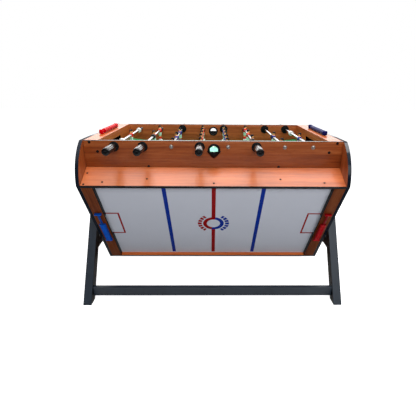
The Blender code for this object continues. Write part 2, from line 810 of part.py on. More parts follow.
def stretcher(front, name):
    """The low rail that ties the two A-frames together."""
    low = -PIVOT_HEIGHT + STRETCHER_CLEARANCE
    high = low + STRETCHER_HEIGHT
    y = front * (low + high) / 2 * math.tan(LEG_LEAN)
    half = LEG_INSIDE - FIT_GAP
    near, far = y - STRETCHER_THICKNESS / 2, y + STRETCHER_THICKNESS / 2
    board(name, (-half, near, low), (half, far, high), PIVOT, "leg")


def stand():
    for side, where in ((-1, "left"), (1, "right")):
        leg(side, 1, f"leg_front_{where}")
        leg(side, -1, f"leg_rear_{where}")
        crossbar(side, f"crossbar_{where}")
        lock(side, f"lock_knob_{where}")
    stretcher(1, "stretcher_front")
    stretcher(-1, "stretcher_rear")


def football():
    walls = side_walls(FOOTBALL, ("football_wall_front", "football_wall_rear"))
    for side, wall in zip((-1, 1), walls):
        bushings(wall, side)
        ball_cup(wall, side)
    pitch()
    football_end(-1, "football_end_left")
    football_end(1, "football_end_right")
    for index in range(len(ROD_SHARES)):
        football_rod(index)


clear_scene()
PARTS = new_collection("multi_game_table")
CUTTERS = new_collection("cutters")
PIVOT = empty("pivot", location=(0, 0, PIVOT_HEIGHT))
BODY = empty("turning_body", PIVOT)
FOOTBALL = empty("football_face", BODY)
HOCKEY = empty("hockey_face", BODY, turn=(math.tau / 3, 0, 0))
POOL = empty("pool_face", BODY, turn=(-math.tau / 3, 0, 0))

stand()
end_panel(-1, "end_panel_left")
end_panel(1, "end_panel_right")
football()
hockey()
pool()
counters()
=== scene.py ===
"""Looks of a turning games table: football on top, slide hockey in front, pool behind."""

import math

import bmesh
import bpy
from mathutils import Matrix, Vector


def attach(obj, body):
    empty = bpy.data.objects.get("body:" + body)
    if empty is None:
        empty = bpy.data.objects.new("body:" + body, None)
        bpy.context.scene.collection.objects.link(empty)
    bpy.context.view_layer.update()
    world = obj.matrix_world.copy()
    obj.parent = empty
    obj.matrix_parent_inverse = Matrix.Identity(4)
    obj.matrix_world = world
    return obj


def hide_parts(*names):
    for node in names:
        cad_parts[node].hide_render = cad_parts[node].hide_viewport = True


bl_info = {
    "name": "Turning games table",
    "version": (1, 0, 0),
    "blender": (4, 5, 0),
    "location": "View3D > Sidebar > Games table",
    "description": "Dresses a games table that turns between two A-frames, and sets its studio",
    "category": "Object",
}

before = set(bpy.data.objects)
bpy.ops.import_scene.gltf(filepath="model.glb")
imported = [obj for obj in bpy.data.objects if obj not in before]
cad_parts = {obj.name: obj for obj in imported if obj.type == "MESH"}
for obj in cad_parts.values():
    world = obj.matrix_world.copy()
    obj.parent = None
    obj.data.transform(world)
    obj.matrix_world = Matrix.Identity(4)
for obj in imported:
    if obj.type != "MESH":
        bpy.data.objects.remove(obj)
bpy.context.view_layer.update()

# The turning body, in metres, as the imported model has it
PIVOT_HEIGHT = 0.558
HALF_WIDTH = 0.308
INSIDE = 0.296
WALL_FOOT = 0.178124
RIM = 0.300824
BOARD_END = 0.5937
FIELD_END = 0.5297
HOCKEY_END = 0.5397
PANEL_INSIDE = 0.594
PANEL_OUTSIDE = 0.610
CORNER_BULGE = 0.027
PIVOT_RADIUS = 0.012
LEG_INSIDE = 0.645
LEG_OUTSIDE = 0.689
LEG_LEAN = math.radians(32)
CROSSBAR_THICKNESS = 0.030
BED_TOP = 0.262824
PITCH_TOP = 0.200824
FIELD_TOP = 0.280824
GOAL_WIDTH = 0.150
GOAL_HEIGHT = 0.065
SLOT_WIDTH = 0.160
SLOT_HEIGHT = 0.014

# The least gap between a piece and what it rests on, and the thinner one where a piece is let in
GAP = 0.0003
LET_IN = 0.0001
# How far a black mask reaches past the edge that it covers
MASK_REACH = 0.0006

# Corners nearer than this are one, and edges flatter than this angle in degrees are shaded softly
MERGE = 0.00001
SMOOTH = 35
# How soft the edge of a printed mask is, and how much longer than wide the wood's grain is
MASK_EDGE = 0.0003
GRAIN_STRETCH = 24.0

# Football rods, left to right: handle side, men, their spacing, rest offset to the handle, team
ROD_LEVEL = 0.272824
ROD_SPACING = 0.130412
RODS = (
    (-1, 1, 0.0, -0.0280, "red"),
    (-1, 2, 0.2100, -0.1080, "red"),
    (1, 3, 0.1800, -0.0560, "blue"),
    (-1, 5, 0.1100, -0.0080, "red"),
    (1, 5, 0.1100, -0.0080, "blue"),
    (-1, 3, 0.1800, -0.0560, "red"),
    (1, 2, 0.2100, -0.1250, "blue"),
    (1, 1, 0.0, -0.0600, "blue"),
)
TUBE_RADIUS = 0.0065
TUBE_BORE = 0.0051
TUBE_END = 0.3827
INNER_ROD_RADIUS = 0.0046
GRIP_RADIUS = 0.0170
GRIP_START = 0.323
GRIP_END = 0.434
GRIP_SEGMENTS = 48

# What stops a rod: a goalkeeper's stops stand away from him, other rods' bumpers stand beside the outer men
STOP_REACH = 0.194
STOP_HALF = 0.010
STOP_RADIUS = 0.014
BUMPER_START = 0.0118
BUMPER_LENGTH = 0.022
BUMPER_RADIUS = 0.013

# Drills in the football walls
BUSHING_HOLE = 0.0124
INNER_ROD_HOLE = 0.0056
DRILL_DEPTH = 0.03

# Ball cups
CUP_LEVEL = 0.258824
CUP_RADIUS = 0.029
CUP_HOLE = 0.0226
CUP_CLEARANCE = 0.0004
CUP_BORE = 0.0190
CUP_SLEEVE = 0.0225
SCOOP_STRETCH = (1.12, 0.90, 1.06)

# Score counters: half length, cap length and width, bar and bore radius, bead radius and length, flatness
COUNTER_X = 0.5657
COUNTERS = {
    "football": (0.135, 0.014, 0.024, 0.0045, 0.0052, 0.0110, 0.0215, 1.0),
    "hockey": (0.117, 0.008, 0.036, 0.0065, 0.0075, 0.0175, 0.0139, 0.40),
}
BEADS = 10
BEAD_NECK = 0.0024
CAP_ROUNDING_SHARE = 0.44

# Pool
POOL_RAIL = 0.062
POCKET_RADIUS = 0.027
POCKET_DEPTH = 0.048
CUSHION_GAP = POCKET_RADIUS + 0.004
SIGHT_PLACES = (-0.40, -0.265, -0.13, 0.13, 0.265, 0.40)
SIGHT_SETBACK = 0.034

# Locks and stand
LOCK_LEVEL = -0.295
BOLT_LEVELS = (0.038, 0.064)

# Lines of the football pitch, measured from its middle
PITCH_END, PITCH_SIDE = 0.500, 0.262
PENALTY_FRONT, PENALTY_SIDE = 0.390, 0.150
GOAL_AREA_FRONT, GOAL_AREA_SIDE = 0.450, 0.098
ARC_PLACE, ARC_RADIUS = 0.405, 0.062
CENTRE_RING, CENTRE_SPOT = 0.085, 0.060
MOWN_STRIPES = 6.6

# Lines of the hockey field, measured from its middle
STRIPE_LOW_END = -0.287
STRIPE_GAP = 0.052
BLUE_LINES = 0.230
CREASE_FRONT, CREASE_SIDE = 0.479, 0.086
RING_RADIUS, RING_WIDTH = 0.0443, 0.0195
TICK_RADIUS, TICK_LENGTH = 0.0715, 0.0205
TICK_REACH = 0.96
TICK_RATE, TICK_SHIFT, TICK_SHARE = 3.4, 0.34, 0.76

FACE_TURNS = {"football": 0.0, "hockey": math.tau / 3, "pool": -math.tau / 3}
TO_PIVOT = Matrix.Translation((0, 0, PIVOT_HEIGHT))
FACES = {face: TO_PIVOT @ Matrix.Rotation(turn, 4, "X") for face, turn in FACE_TURNS.items()}
ENDS = ((-1, "left"), (1, "right"))
WALLS = ((-1, "front"), (1, "rear"))

# Screw heads on a wall's outer face: place along the wall and distance from the axis
WALL_SCREWS = (
    (-0.566, 0.2925), (-0.533, 0.250), (-0.304, 0.181), (0.304, 0.181), (0.533, 0.250), (0.566, 0.2925),
)
LEDGE_SCREWS = (
    (-0.580, 0.2194), (-0.580, 0.2887), (-0.500, 0.2748), (-0.303, 0.254), (0.0, 0.2794),
    (0.303, 0.254), (0.500, 0.2748),
)
SCREWED_WALLS = (
    ("football", -1, WALL_SCREWS, "wall_screw", "screws_front_wall"),
    ("football", 1, WALL_SCREWS, "wall_screw", "screws_rear_wall"),
    ("hockey", 1, LEDGE_SCREWS, "ledge_screw", "screws_front_ledge"),
    ("pool", -1, LEDGE_SCREWS, "ledge_screw", "screws_rear_ledge"),
    ("hockey", -1, WALL_SCREWS, "wall_screw", "screws_lower_front"),
    ("pool", 1, WALL_SCREWS, "wall_screw", "screws_lower_rear"),
)

# A man from the sole up: height over the rod, half depth, half width and forward shift, in metres
MAN_SECTIONS = (
    (-0.0600, 0.0108, 0.0078, 0.0030),
    (-0.0588, 0.0122, 0.0088, 0.0030),
    (-0.0535, 0.0116, 0.0090, 0.0024),
    (-0.0508, 0.0078, 0.0082, 0.0006),
    (-0.0500, 0.0066, 0.0078, 0.0000),
    (-0.0430, 0.0078, 0.0086, -0.0004),
    (-0.0365, 0.0074, 0.0086, 0.0000),
    (-0.0358, 0.0066, 0.0080, 0.0002),
    (-0.0290, 0.0074, 0.0088, 0.0002),
    (-0.0284, 0.0088, 0.0100, 0.0000),
    (-0.0160, 0.0096, 0.0104, 0.0000),
    (-0.0100, 0.0088, 0.0092, 0.0000),
    (-0.0094, 0.0084, 0.0088, 0.0000),
    (0.0000, 0.0100, 0.0094, 0.0004),
    (0.0070, 0.0104, 0.0096, 0.0004),
    (0.0108, 0.0080, 0.0086, 0.0000),
    (0.0124, 0.0050, 0.0052, 0.0000),
    (0.0138, 0.0044, 0.0046, 0.0000),
    (0.0150, 0.0060, 0.0052, 0.0008),
    (0.0180, 0.0080, 0.0064, 0.0006),
    (0.0222, 0.0086, 0.0070, 0.0000),
    (0.0262, 0.0086, 0.0070, -0.0004),
    (0.0292, 0.0066, 0.0054, -0.0004),
    (0.0308, 0.0026, 0.0022, -0.0004),
)
# Heights on a man where one paint meets the next
BROW, NAPE, COLLAR, WAIST, HEM, SOCK_TOP, ANKLE = 0.0215, 0.0155, 0.0112, -0.0098, -0.0288, -0.0362, -0.0500
SLEEVE_END = -0.0004
MAN_PAINTS = ("hair", "skin", "team_red", "shorts", "shoe")
HAIR, SKIN, TEAM, SHORTS, SHOE = range(5)

# Sections of small turned pieces: radius, then distance along the axis
ARM = (
    (0.0012, 0.0), (0.0025, 0.0008), (0.0028, 0.0030), (0.0024, 0.0100), (0.0020, 0.0104), (0.0019, 0.0160),
    (0.0022, 0.0172), (0.0022, 0.0200), (0.0010, 0.0216),
)
FERRULE = ((0.0071, 0.0), (0.0071, 0.0010), (0.0086, 0.0012), (0.0094, 0.0006), (0.0094, 0.0), (0.0071, 0.0))
SIGHT = ((0.0040, -0.0004), (0.0040, 0.0), (0.0036, 0.0002), (0.0010, 0.0002))
BOLT_HEAD = (
    (0.0070, 0.0), (0.0082, 0.0004), (0.0080, 0.0016), (0.0062, 0.0034), (0.0034, 0.0042), (0.0030, 0.0030),
    (0.0008, 0.0028),
)
# The end cap that shows at the far wall, the ring behind it, then the rod
INNER_ROD_CAP = -0.3083
INNER_ROD = (
    (0.0030, -0.3142), (0.0056, -0.3136), (0.0067, -0.3122), (0.0068, -0.3100), (0.0068, -0.3084),
    (INNER_ROD_RADIUS, INNER_ROD_CAP), (INNER_ROD_RADIUS, -0.2957), (0.0090, -0.2957), (0.0090, -0.2935),
    (0.0084, -0.2927), (INNER_ROD_RADIUS, -0.2927), (INNER_ROD_RADIUS, 0.2752), (0.0040, 0.2760),
)
# A cushion's section: distance from the rail, height over the bed
CUSHION = (
    (0.0, 0.010), (0.0, 0.034), (0.006, 0.0345), (0.016, 0.033), (0.0205, 0.0300), (0.0212, 0.0270),
    (0.0190, 0.0245), (0.006, 0.012),
)

# Soft boxes: place, tilt about X in degrees, width and depth
LAMPS = {
    "key": ((0.2, -0.34, 2.75), 0, 2.6, 1.2),
    "back": ((0, 3.2, 1.95), -72, 4.2, 1.2),
    "front": ((0.5, -2.8, 2.0), 61, 2.8, 1.2),
}
SENSOR_WIDTH = 36.0
LENS_SHIFT = (-0.019, -0.0055)
FLOOR_SIZE = 24


def srgb(*screen):
    """A colour written as 0 to 255 on the screen, as Blender's linear values."""
    shares = (c / 255 for c in screen)
    return tuple(c / 12.92 if c <= 0.04045 else ((c + 0.055) / 1.055) ** 2.4 for c in shares)


def size(name, default, description):
    return bpy.props.FloatProperty(
        name=name, default=default, description=description, min=0.0001, max=1.0, unit="LENGTH", precision=4
    )


def colour(name, default, description):
    return bpy.props.FloatVectorProperty(
        name=name, default=srgb(*default), description=description, min=0.0, max=1.0, size=3, subtype="COLOR"
    )


def angle(name, degrees, description):
    return bpy.props.FloatProperty(
        name=name, default=math.radians(degrees), subtype="ANGLE", description=description
    )


def power(name, watts, description):
    return bpy.props.FloatProperty(name=name, default=watts, unit="POWER", description=description)


class TableSettings(bpy.types.PropertyGroup):
    """Sizes and colours of the dressed table."""

    edge_round: size("Edge round", 0.0008, "Rounding of the boards' edges")
    edging_round: size("Edging round", 0.0022, "Rounding of the black edging on the end panels")
    bushing_radius: size("Bushing", 0.0232, "Radius of the rod bushings' outer flange")
    flutes: bpy.props.IntProperty(
        name="Flutes", default=12, min=4, max=12, description="Flutes round a handle"
    )
    flute_depth: size("Flute depth", 0.0017, "Depth of the flutes in a handle")
    wall_screw: size("Wall screw", 0.0064, "Radius of a wall's screw heads")
    ledge_screw: size("Ledge screw", 0.0047, "Radius of a ledge's screw heads")
    line_width: size("Field line", 0.0195, "Width of the hockey field's long lines")
    crease_line: size("Crease line", 0.0090, "Width of the lines round the hockey creases")
    pitch_line: size("Pitch line", 0.0060, "Width of the football pitch's lines")
    scoop_drop: size("Scoop drop", 0.0030, "How far a ball cup's scoop sits under the hole's middle")
    bead_groove: size("Bead groove", 0.0040, "Groove along the hockey beads, before they are pressed flat")
    lobe_depth: size("Knob lobes", 0.0022, "Depth of the hollows between a lock knob's lobes")

    wood: colour("Wood", (186, 95, 44), "Main tone of the wood-grain laminate")
    wood_dark: colour("Wood, dark", (142, 64, 27), "Streaks of the wood-grain laminate")
    wood_light: colour("Wood, light", (208, 120, 66), "Pale bands of the wood-grain laminate")
    edging: colour("Edging", (22, 31, 44), "Black plastic edging")
    leg: colour("Stand", (39, 52, 66), "Slate lacquer of the stand")
    leg_dark: colour("Stand, dark", (27, 35, 45), "Streaks in the stand's lacquer")
    plastic: colour("Black plastic", (5, 6, 9), "Handles and lock knobs")
    steel: colour("Steel", (160, 163, 168), "Polished rods")
    pitch: colour("Pitch", (0, 132, 72), "Green of the football pitch")
    field: colour("Hockey field", (238, 243, 255), "White of the hockey field")
    line_red: colour("Red lines", (164, 0, 4), "Red of the hockey field's lines")
    line_blue: colour("Blue lines", (0, 50, 166), "Blue of the hockey field's lines")
    cloth: colour("Pool cloth", (12, 104, 58), "Green baize of the pool bed")
    team_red: colour("Red team", (232, 28, 22), "Shirts and socks of the red men")
    team_blue: colour("Blue team", (40, 44, 150), "Shirts and socks of the blue men")
    shorts: colour("Shorts", (196, 240, 214), "Shorts of the men")
    skin: colour("Skin", (250, 178, 118), "Faces, hands and knees of the men")
    hair: colour("Hair", (10, 11, 18), "Hair of the men")
    white: colour("White plastic", (226, 230, 228), "Goalkeeper stops and shoes")
    counter_red: colour("Red counters", (208, 3, 20), "Red score counters")
    counter_blue: colour("Blue counter", (0, 104, 236), "Blue score counter")
    counter_navy: colour("Navy counter", (10, 12, 82), "Navy score counter")

    lens: bpy.props.FloatProperty(name="Lens", default=27.34, unit="CAMERA", description="Focal length")
    camera_place: bpy.props.FloatVectorProperty(
        name="Camera",
        default=(-0.011, -1.753, 1.107),
        subtype="TRANSLATION",
        description="Where the camera stands",
    )
    camera_pitch: angle("Pitch", 21.33, "How far the camera looks down")
    camera_yaw: angle("Yaw", -0.88, "How far the camera turns to the left")
    camera_roll: angle("Roll", 0.50, "How far the camera leans")
    key_light: power("Key light", 70.0, "Power of the soft box over the table")
    back_light: power("Back light", 42.0, "Power of the soft box behind the table")
    front_light: power("Front light", 40.0, "Power of the soft box in front of the table")
    room_light: bpy.props.FloatProperty(
        name="Room light", default=0.08, description="Strength of the even light from all round"
    )


def settings():
    return bpy.context.scene.games_table


def tone_of(tone):
    """A tone given as one of the settings' colours by name, or as 0 to 255 on the screen."""
    return tuple(getattr(settings(), tone)) if isinstance(tone, str) else srgb(*tone)


def shaded(tone, by, lift=0.0):
    """A tone made darker or lighter."""
    return tuple(min(1.0, c * by + lift) for c in tone)


# Modelling


def deselect():
    if bpy.context.object and bpy.context.object.mode != "OBJECT":
        bpy.ops.object.mode_set(mode="OBJECT")
    bpy.ops.object.select_all(action="DESELECT")


def discard(*objects):
    for obj in objects:
        bpy.data.objects.remove(obj, do_unlink=True)


def added(name):
    """The primitive that was just added, under its own name."""
    obj = bpy.context.object
    obj.name = obj.data.name = name
    return obj


def settle():
    """Moves the active object's place, turn and size into its mesh."""
    bpy.ops.object.transform_apply(location=True, rotation=True, scale=True)


def soften(degrees):
    """Shades the active object softly, except over edges sharper than an angle."""
    bpy.ops.object.shade_smooth_by_angle(angle=math.radians(degrees))


def finished(obj, smooth=SMOOTH):
    """Leaves edit mode with normals outwards, the place in the mesh and soft shading up to an angle."""
    bpy.ops.mesh.select_all(action="SELECT")
    bpy.ops.mesh.remove_doubles(threshold=MERGE)
    bpy.ops.mesh.normals_make_consistent(inside=False)
    bpy.ops.object.mode_set(mode="OBJECT")
    settle()
    soften(smooth)
    return obj


def extrude(by):
    bpy.ops.mesh.extrude_region_move(TRANSFORM_OT_translate={"value": by})


def upright_to(along):
    """The turn that lays the Z axis along a direction."""
    return Vector((0, 0, 1)).rotation_difference(Vector(along)).to_euler()


def block(name, low, high, rounding=0.0, segments=2):
    """A block between two corners with its edges rounded."""
    deselect()
    low, high = Vector(low), Vector(high)
    bpy.ops.mesh.primitive_cube_add(size=1, location=(low + high) / 2, scale=high - low)
    obj = added(name)
    settle()
    bpy.ops.object.mode_set(mode="EDIT")
    if rounding:
        bpy.ops.mesh.bevel(offset=rounding, segments=segments, affect="EDGES")
    return finished(obj)


def turned(name, profile, base, along, segments=32, hollow=False, smooth=SMOOTH):
    """A turned piece: a circle at the profile's first step, drawn out and resized at each next one."""
    deselect()
    along, base = Vector(along).normalized(), Vector(base)
    radius, reach = profile[0]
    bpy.ops.mesh.primitive_circle_add(
        vertices=segments,
        radius=radius,
        fill_type="NOTHING" if hollow else "NGON",
        location=base + reach * along,
        rotation=upright_to(along),
        enter_editmode=True,
    )
    obj = added(name)
    for wider, further in profile[1:]:
        extrude((further - reach) * along)
        if wider != radius:
            centre = base + further * along
            bpy.ops.transform.resize(value=(wider / radius,) * 3, center_override=centre)
        radius, reach = wider, further
    return finished(obj, smooth)


def flat_face(name, points):
    """One face through the points of an outline, left in edit mode."""
    deselect()
    bpy.ops.mesh.primitive_circle_add(vertices=len(points), fill_type="NGON", enter_editmode=True)
    obj = added(name)
    shape = bmesh.from_edit_mesh(obj.data)
    for vert, point in zip(shape.verts, points):
        vert.co = point
    bmesh.update_edit_mesh(obj.data)
    return obj


def plate(name, points, start, thickness, rounding):
    """A board cut to an outline in the YZ plane, from X = start, with the edges of its rim rounded."""
    obj = flat_face(name, [(start, y, z) for y, z in points])
    extrude((thickness, 0, 0))
    shape = bmesh.from_edit_mesh(obj.data)
    for edge in shape.edges:
        edge.select_set(abs(edge.verts[0].co.x - edge.verts[1].co.x) < thickness / 2)
    shape.select_flush_mode()
    bmesh.update_edit_mesh(obj.data)
    bpy.ops.mesh.bevel(offset=rounding, segments=3, affect="EDGES")
    return finished(obj)


def joined(name, pieces):
    deselect()
    for obj in pieces:
        obj.select_set(True)
    bpy.context.view_layer.objects.active = pieces[0]
    bpy.ops.object.join()
    pieces[0].name = pieces[0].data.name = name
    return pieces[0]


def copied(obj, name, place):
    """A copy with its own mesh, moved there."""
    other = obj.copy()
    other.data = obj.data.copy()
    other.name = other.data.name = name
    other.data.transform(place)
    bpy.context.scene.collection.objects.link(other)
    return other


def applied(obj, kind, **how):
    """Adds one modifier and applies it."""
    deselect()
    bpy.context.view_layer.objects.active = obj
    obj.select_set(True)
    modifier = obj.modifiers.new(kind.title(), kind)
    for key, value in how.items():
        setattr(modifier, key, value)
    bpy.ops.object.modifier_apply(modifier=modifier.name)
    return obj


def eased(obj, width, sharp, smooth):
    """Rounds the edges that are sharper than an angle."""
    applied(obj, "BEVEL", width=width, segments=2, limit_method="ANGLE", angle_limit=math.radians(sharp))
    soften(smooth)
    return obj


def cut(obj, cutters):
    """Cuts separate cutters out of a piece."""
    cutter = joined(obj.name + "_cutter", cutters)
    applied(obj, "BOOLEAN", operation="DIFFERENCE", solver="EXACT", object=cutter)
    discard(cutter)
    soften(SMOOTH)
    return obj


def drill(place, along, radius, depth, segments=48):
    """A round cutter, centred on a place."""
    deselect()
    bpy.ops.mesh.primitive_cylinder_add(
        vertices=segments, radius=radius, depth=depth, location=place, rotation=upright_to(along)
    )
    obj = added("drill")
    settle()
    return obj


def paint(obj, *finishes):
    """Gives a piece its materials. Its faces keep their slot numbers."""
    slots = [face.material_index for face in obj.data.polygons]
    obj.data.materials.clear()
    for name in finishes:
        obj.data.materials.append(finish(name))
    for face, slot in zip(obj.data.polygons, slots):
        face.material_index = slot
    return obj


def fitted(obj, body, *finishes, face=None, replaces=(), slot=None):
    """Puts a finished piece in its place: its materials, its body and the nodes that it stands for."""
    if face:
        obj.data.transform(FACES[face])
    if finishes:
        paint(obj, *finishes)
    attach(obj, body)
    if replaces:
        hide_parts(*replaces)
    return obj


# Materials


class Value:
    """A number or vector that runs through a material. Arithmetic on it adds the Math nodes that do it."""

    def __init__(self, tree, socket):
        self.tree, self.socket = tree, socket

    def __add__(self, other):
        return self.tree.math("ADD", self, other)

    __radd__ = __add__

    def __sub__(self, other):
        return self.tree.math("SUBTRACT", self, other)

    def __rsub__(self, other):
        return self.tree.math("SUBTRACT", other, self)

    def __mul__(self, other):
        return self.tree.math("MULTIPLY", self, other)

    __rmul__ = __mul__

    def __truediv__(self, other):
        return self.tree.math("DIVIDE", self, other)

    def __rtruediv__(self, other):
        return self.tree.math("DIVIDE", other, self)

    def __abs__(self):
        return self.tree.math("ABSOLUTE", self)

    def __and__(self, other):
        return self.tree.math("MINIMUM", self, other)

    def __or__(self, other):
        return self.tree.math("MAXIMUM", self, other)

    def under(self, limit, soft=MASK_EDGE):
        """1 where the value is under the limit, 0 above it, with a thin soft edge."""
        return self.tree.math("ADD", (limit - self) / soft, 0.5, clamp=True)

    def over(self, limit, soft=MASK_EDGE):
        """1 where the value is over the limit."""
        return self.tree.math("ADD", (self - limit) / soft, 0.5, clamp=True)


class Tree:
    """The nodes of a material or of the surroundings, built as expressions."""

    def __init__(self, owner):
        owner.use_nodes = True
        self.nodes, self.links = owner.node_tree.nodes, owner.node_tree.links

    def outputs(self, names, kind, how=None, inputs=None):
        """Makes any node: its settings first, then its sockets' values or links. Gives the named outputs."""
        node = self.nodes.new(kind)
        for key, value in (how or {}).items():
            if key == "stops":
                ramp = node.color_ramp
                for i, (position, shade) in enumerate(value):
                    stop = ramp.elements[i] if i < 2 else ramp.elements.new(position)
                    stop.position = position
                    stop.color = (*shade, 1.0)
            else:
                setattr(node, key, value)
        for key, value in (inputs or {}).items():
            self.plug(node.inputs[key], value)
        return [Value(self, node.outputs[name]) for name in names]

    def node(self, kind, how=None, inputs=None, output=0):
        return self.outputs([output], kind, how, inputs)[0]

    def plug(self, socket, value):
        if isinstance(value, Value):
            self.links.new(value.socket, socket)
        elif isinstance(value, tuple) and len(value) == 3 and socket.type == "RGBA":
            socket.default_value = (*value, 1.0)
        else:
            socket.default_value = value

    def math(self, operation, *values, clamp=False):
        how = {"operation": operation, "use_clamp": clamp}
        return self.node("ShaderNodeMath", how, dict(enumerate(values)))

    def distance(self, x, y):
        return self.math("SQRT", x * x + y * y)

    def background_rays(self):
        """(1 for what the camera sees, 1 for that and what shiny or clear pieces show)."""
        rays = ("Is Camera Ray", "Is Glossy Ray", "Is Transmission Ray")
        camera, gloss, clear = self.outputs(rays, "ShaderNodeLightPath")
        return camera, camera | gloss | clear


class Finish(Tree):
    """One material."""

    def __init__(self, name):
        self.material = bpy.data.materials.new(name)
        super().__init__(self.material)
        self.shader = self.nodes["Principled BSDF"]
        self.place = self.node("ShaderNodeTexCoord", output="Object")

    def vector(self, operation, first, second):
        return self.node("ShaderNodeVectorMath", {"operation": operation}, {0: first, 1: second})

    def centred(self, turn=0.0):
        """Object coordinates from the table's axis, turned back about X."""
        centred = self.vector("SUBTRACT", self.place, (0, 0, PIVOT_HEIGHT))
        how = {"rotation_type": "X_AXIS"}
        return self.node("ShaderNodeVectorRotate", how, {"Vector": centred, "Angle": -turn})

    def axes(self, face="football"):
        """X, Y and Z of the object's coordinates, turned back so that Y and Z lie as on the football face."""
        return self.outputs("XYZ", "ShaderNodeSeparateXYZ", None, {0: self.centred(FACE_TURNS[face])})

    def noise(self, scale, detail, rough, place=None, distortion=0.0):
        inputs = {"Vector": place or self.place, "Scale": scale, "Detail": detail, "Roughness": rough}
        return self.node("ShaderNodeTexNoise", None, {**inputs, "Distortion": distortion})

    def stretched_noise(self, scale, detail, rough, place, by):
        return self.noise(scale, detail, rough, self.vector("MULTIPLY", place, by))

    def ramp(self, value, *stops):
        return self.node("ShaderNodeValToRGB", {"stops": stops}, {0: value})

    def mix(self, factor, first, second):
        how = {"data_type": "RGBA", "blend_type": "MIX"}
        return self.node("ShaderNodeMix", how, {0: factor, 6: first, 7: second}, output=2)

    def bump(self, height, distance, strength):
        inputs = {"Height": height, "Distance": distance, "Strength": strength}
        self.plug(self.shader.inputs["Normal"], self.node("ShaderNodeBump", None, inputs))

    def set(self, **sockets):
        for key, value in sockets.items():
            self.plug(self.shader.inputs[key.replace("_", " ")], value)


def rim_band(x, y, z):
    """The black edging along a wall's rim."""
    return z.over(RIM - 0.0014)


def wide_rim_band(x, y, z):
    """The wider black edging along a hockey wall's rim."""
    return z.over(RIM - 0.0040)


def goal_inside(x, y, z):
    """The black lining of a football goal."""
    beyond = abs(x).over(FIELD_END + MASK_REACH)
    return beyond & abs(y).under(GOAL_WIDTH / 2 + MASK_REACH) & z.under(PITCH_TOP + GOAL_HEIGHT + MASK_REACH)


def inner_edge(x, y, z):
    """The black edging of a hockey end board towards the field, and its black goal slot."""
    slot = abs(y).under(SLOT_WIDTH / 2 + MASK_REACH) & z.under(FIELD_TOP + SLOT_HEIGHT + MASK_REACH)
    return abs(x).under(HOCKEY_END + 0.0030) | slot


def wood(name, along, face="football", black=None, seed=0.0, shade=1.0, calm=1.0, edge_coat=0.0, gloss=0.35):
    """Printed wood-grain laminate, its grain along one axis of a face. It is edged black where black is 1."""
    make = Finish(name)
    # The shade scales the three tones; some finishes use it for a board's own darker tone, others for painted
    # light and painted shade
    dark, middle, light = (shaded(tone_of(tone), shade) for tone in ("wood_dark", "wood", "wood_light"))
    stretch = tuple(1.0 if axis == along else GRAIN_STRETCH for axis in "XYZ")
    place = make.vector("MULTIPLY", make.centred(FACE_TURNS[face]), stretch)
    place = make.vector("ADD", place, (seed, seed, seed))
    bands = make.noise(1.1, 3.0, 0.5, place, 0.35)
    streaks = make.noise(5.0, 4.0, 0.6, place, 0.2)
    pores = make.noise(36.0, 2.0, 0.6, place)
    tone = bands * 0.42 + streaks * 0.44 + pores * 0.14
    grain = make.ramp((tone - 0.5) * calm + 0.5, (0.36, dark), (0.64, light), (0.50, middle))
    grain = make.mix(pores.under(0.40, 0.10) * 0.35 * calm, grain, dark)
    rubbed = make.noise(7.0, 5.0, 0.7)
    shine = 0.20 + 0.16 * rubbed + 0.10 * streaks
    if black:
        mask = black(*make.axes(face))
        speckle = make.noise(900.0, 2.0, 0.6)
        grain = make.mix(mask, grain, make.mix(speckle, srgb(6, 7, 9), srgb(18, 20, 24)))
        shine = shine * (1 - mask) + mask * (0.08 + 0.12 * rubbed)
        if edge_coat:
            make.set(Coat_Weight=mask * edge_coat, Coat_Roughness=0.1)
        elif gloss > 0.1:
            # A dark metal mirrors less of the pale floor than a dark plastic, so the edging stays black
            make.set(Metallic=mask * 0.9)
    make.set(Base_Color=grain, Roughness=shine, Specular_IOR_Level=gloss)
    make.bump(pores * 0.6 + streaks * 0.4, 0.00012, 0.35)
    return make.material


def moulded(name, tone, rough=0.30, speck=0.0002, gloss=0.5, painted_neck_shade=False):
    """Moulded plastic: a fine grain, flow marks and finger wear. Hockey counters get painted shade low down.
    """
    make, tone = Finish(name), tone_of(tone)
    flow = make.noise(38.0, 3.0, 0.6, None, 0.6)
    grain = make.noise(1400.0, 2.0, 0.5)
    worn = make.noise(16.0, 4.0, 0.65)
    shade = make.mix(flow, shaded(tone, 0.80), shaded(tone, 1.12, 0.004))
    if painted_neck_shade:
        # Painted shade: below the beads' tops, the bar, the groove and the lower sides are coloured darker
        low = make.axes("hockey")[2].under(RIM + 0.0134, 0.003)
        shade = make.mix(low * 0.75, shade, shaded(tone, 0.22))
    make.set(Base_Color=shade, Roughness=(rough - 0.07) + 0.16 * worn, Specular_IOR_Level=gloss)
    make.bump(grain, speck, 0.25)
    return make.material


def edging_finish(name):
    """The end panels' black edging, rubbed shiny where it is leaned on beside the football box."""
    make, tone = Finish(name), tone_of("edging")
    height = make.axes()[2]
    worn = make.noise(16.0, 4.0, 0.65)
    shade = make.mix(make.noise(38.0, 3.0, 0.6, None, 0.6), shaded(tone, 0.6), tone)
    make.set(Base_Color=shade, Roughness=0.20 + 0.16 * worn, Specular_IOR_Level=0.04)
    make.set(Coat_Weight=height.over(0.17, 0.16) * 0.55, Coat_Roughness=0.08)
    make.bump(make.noise(1400.0, 2.0, 0.5), 0.0001, 0.25)
    return make.material


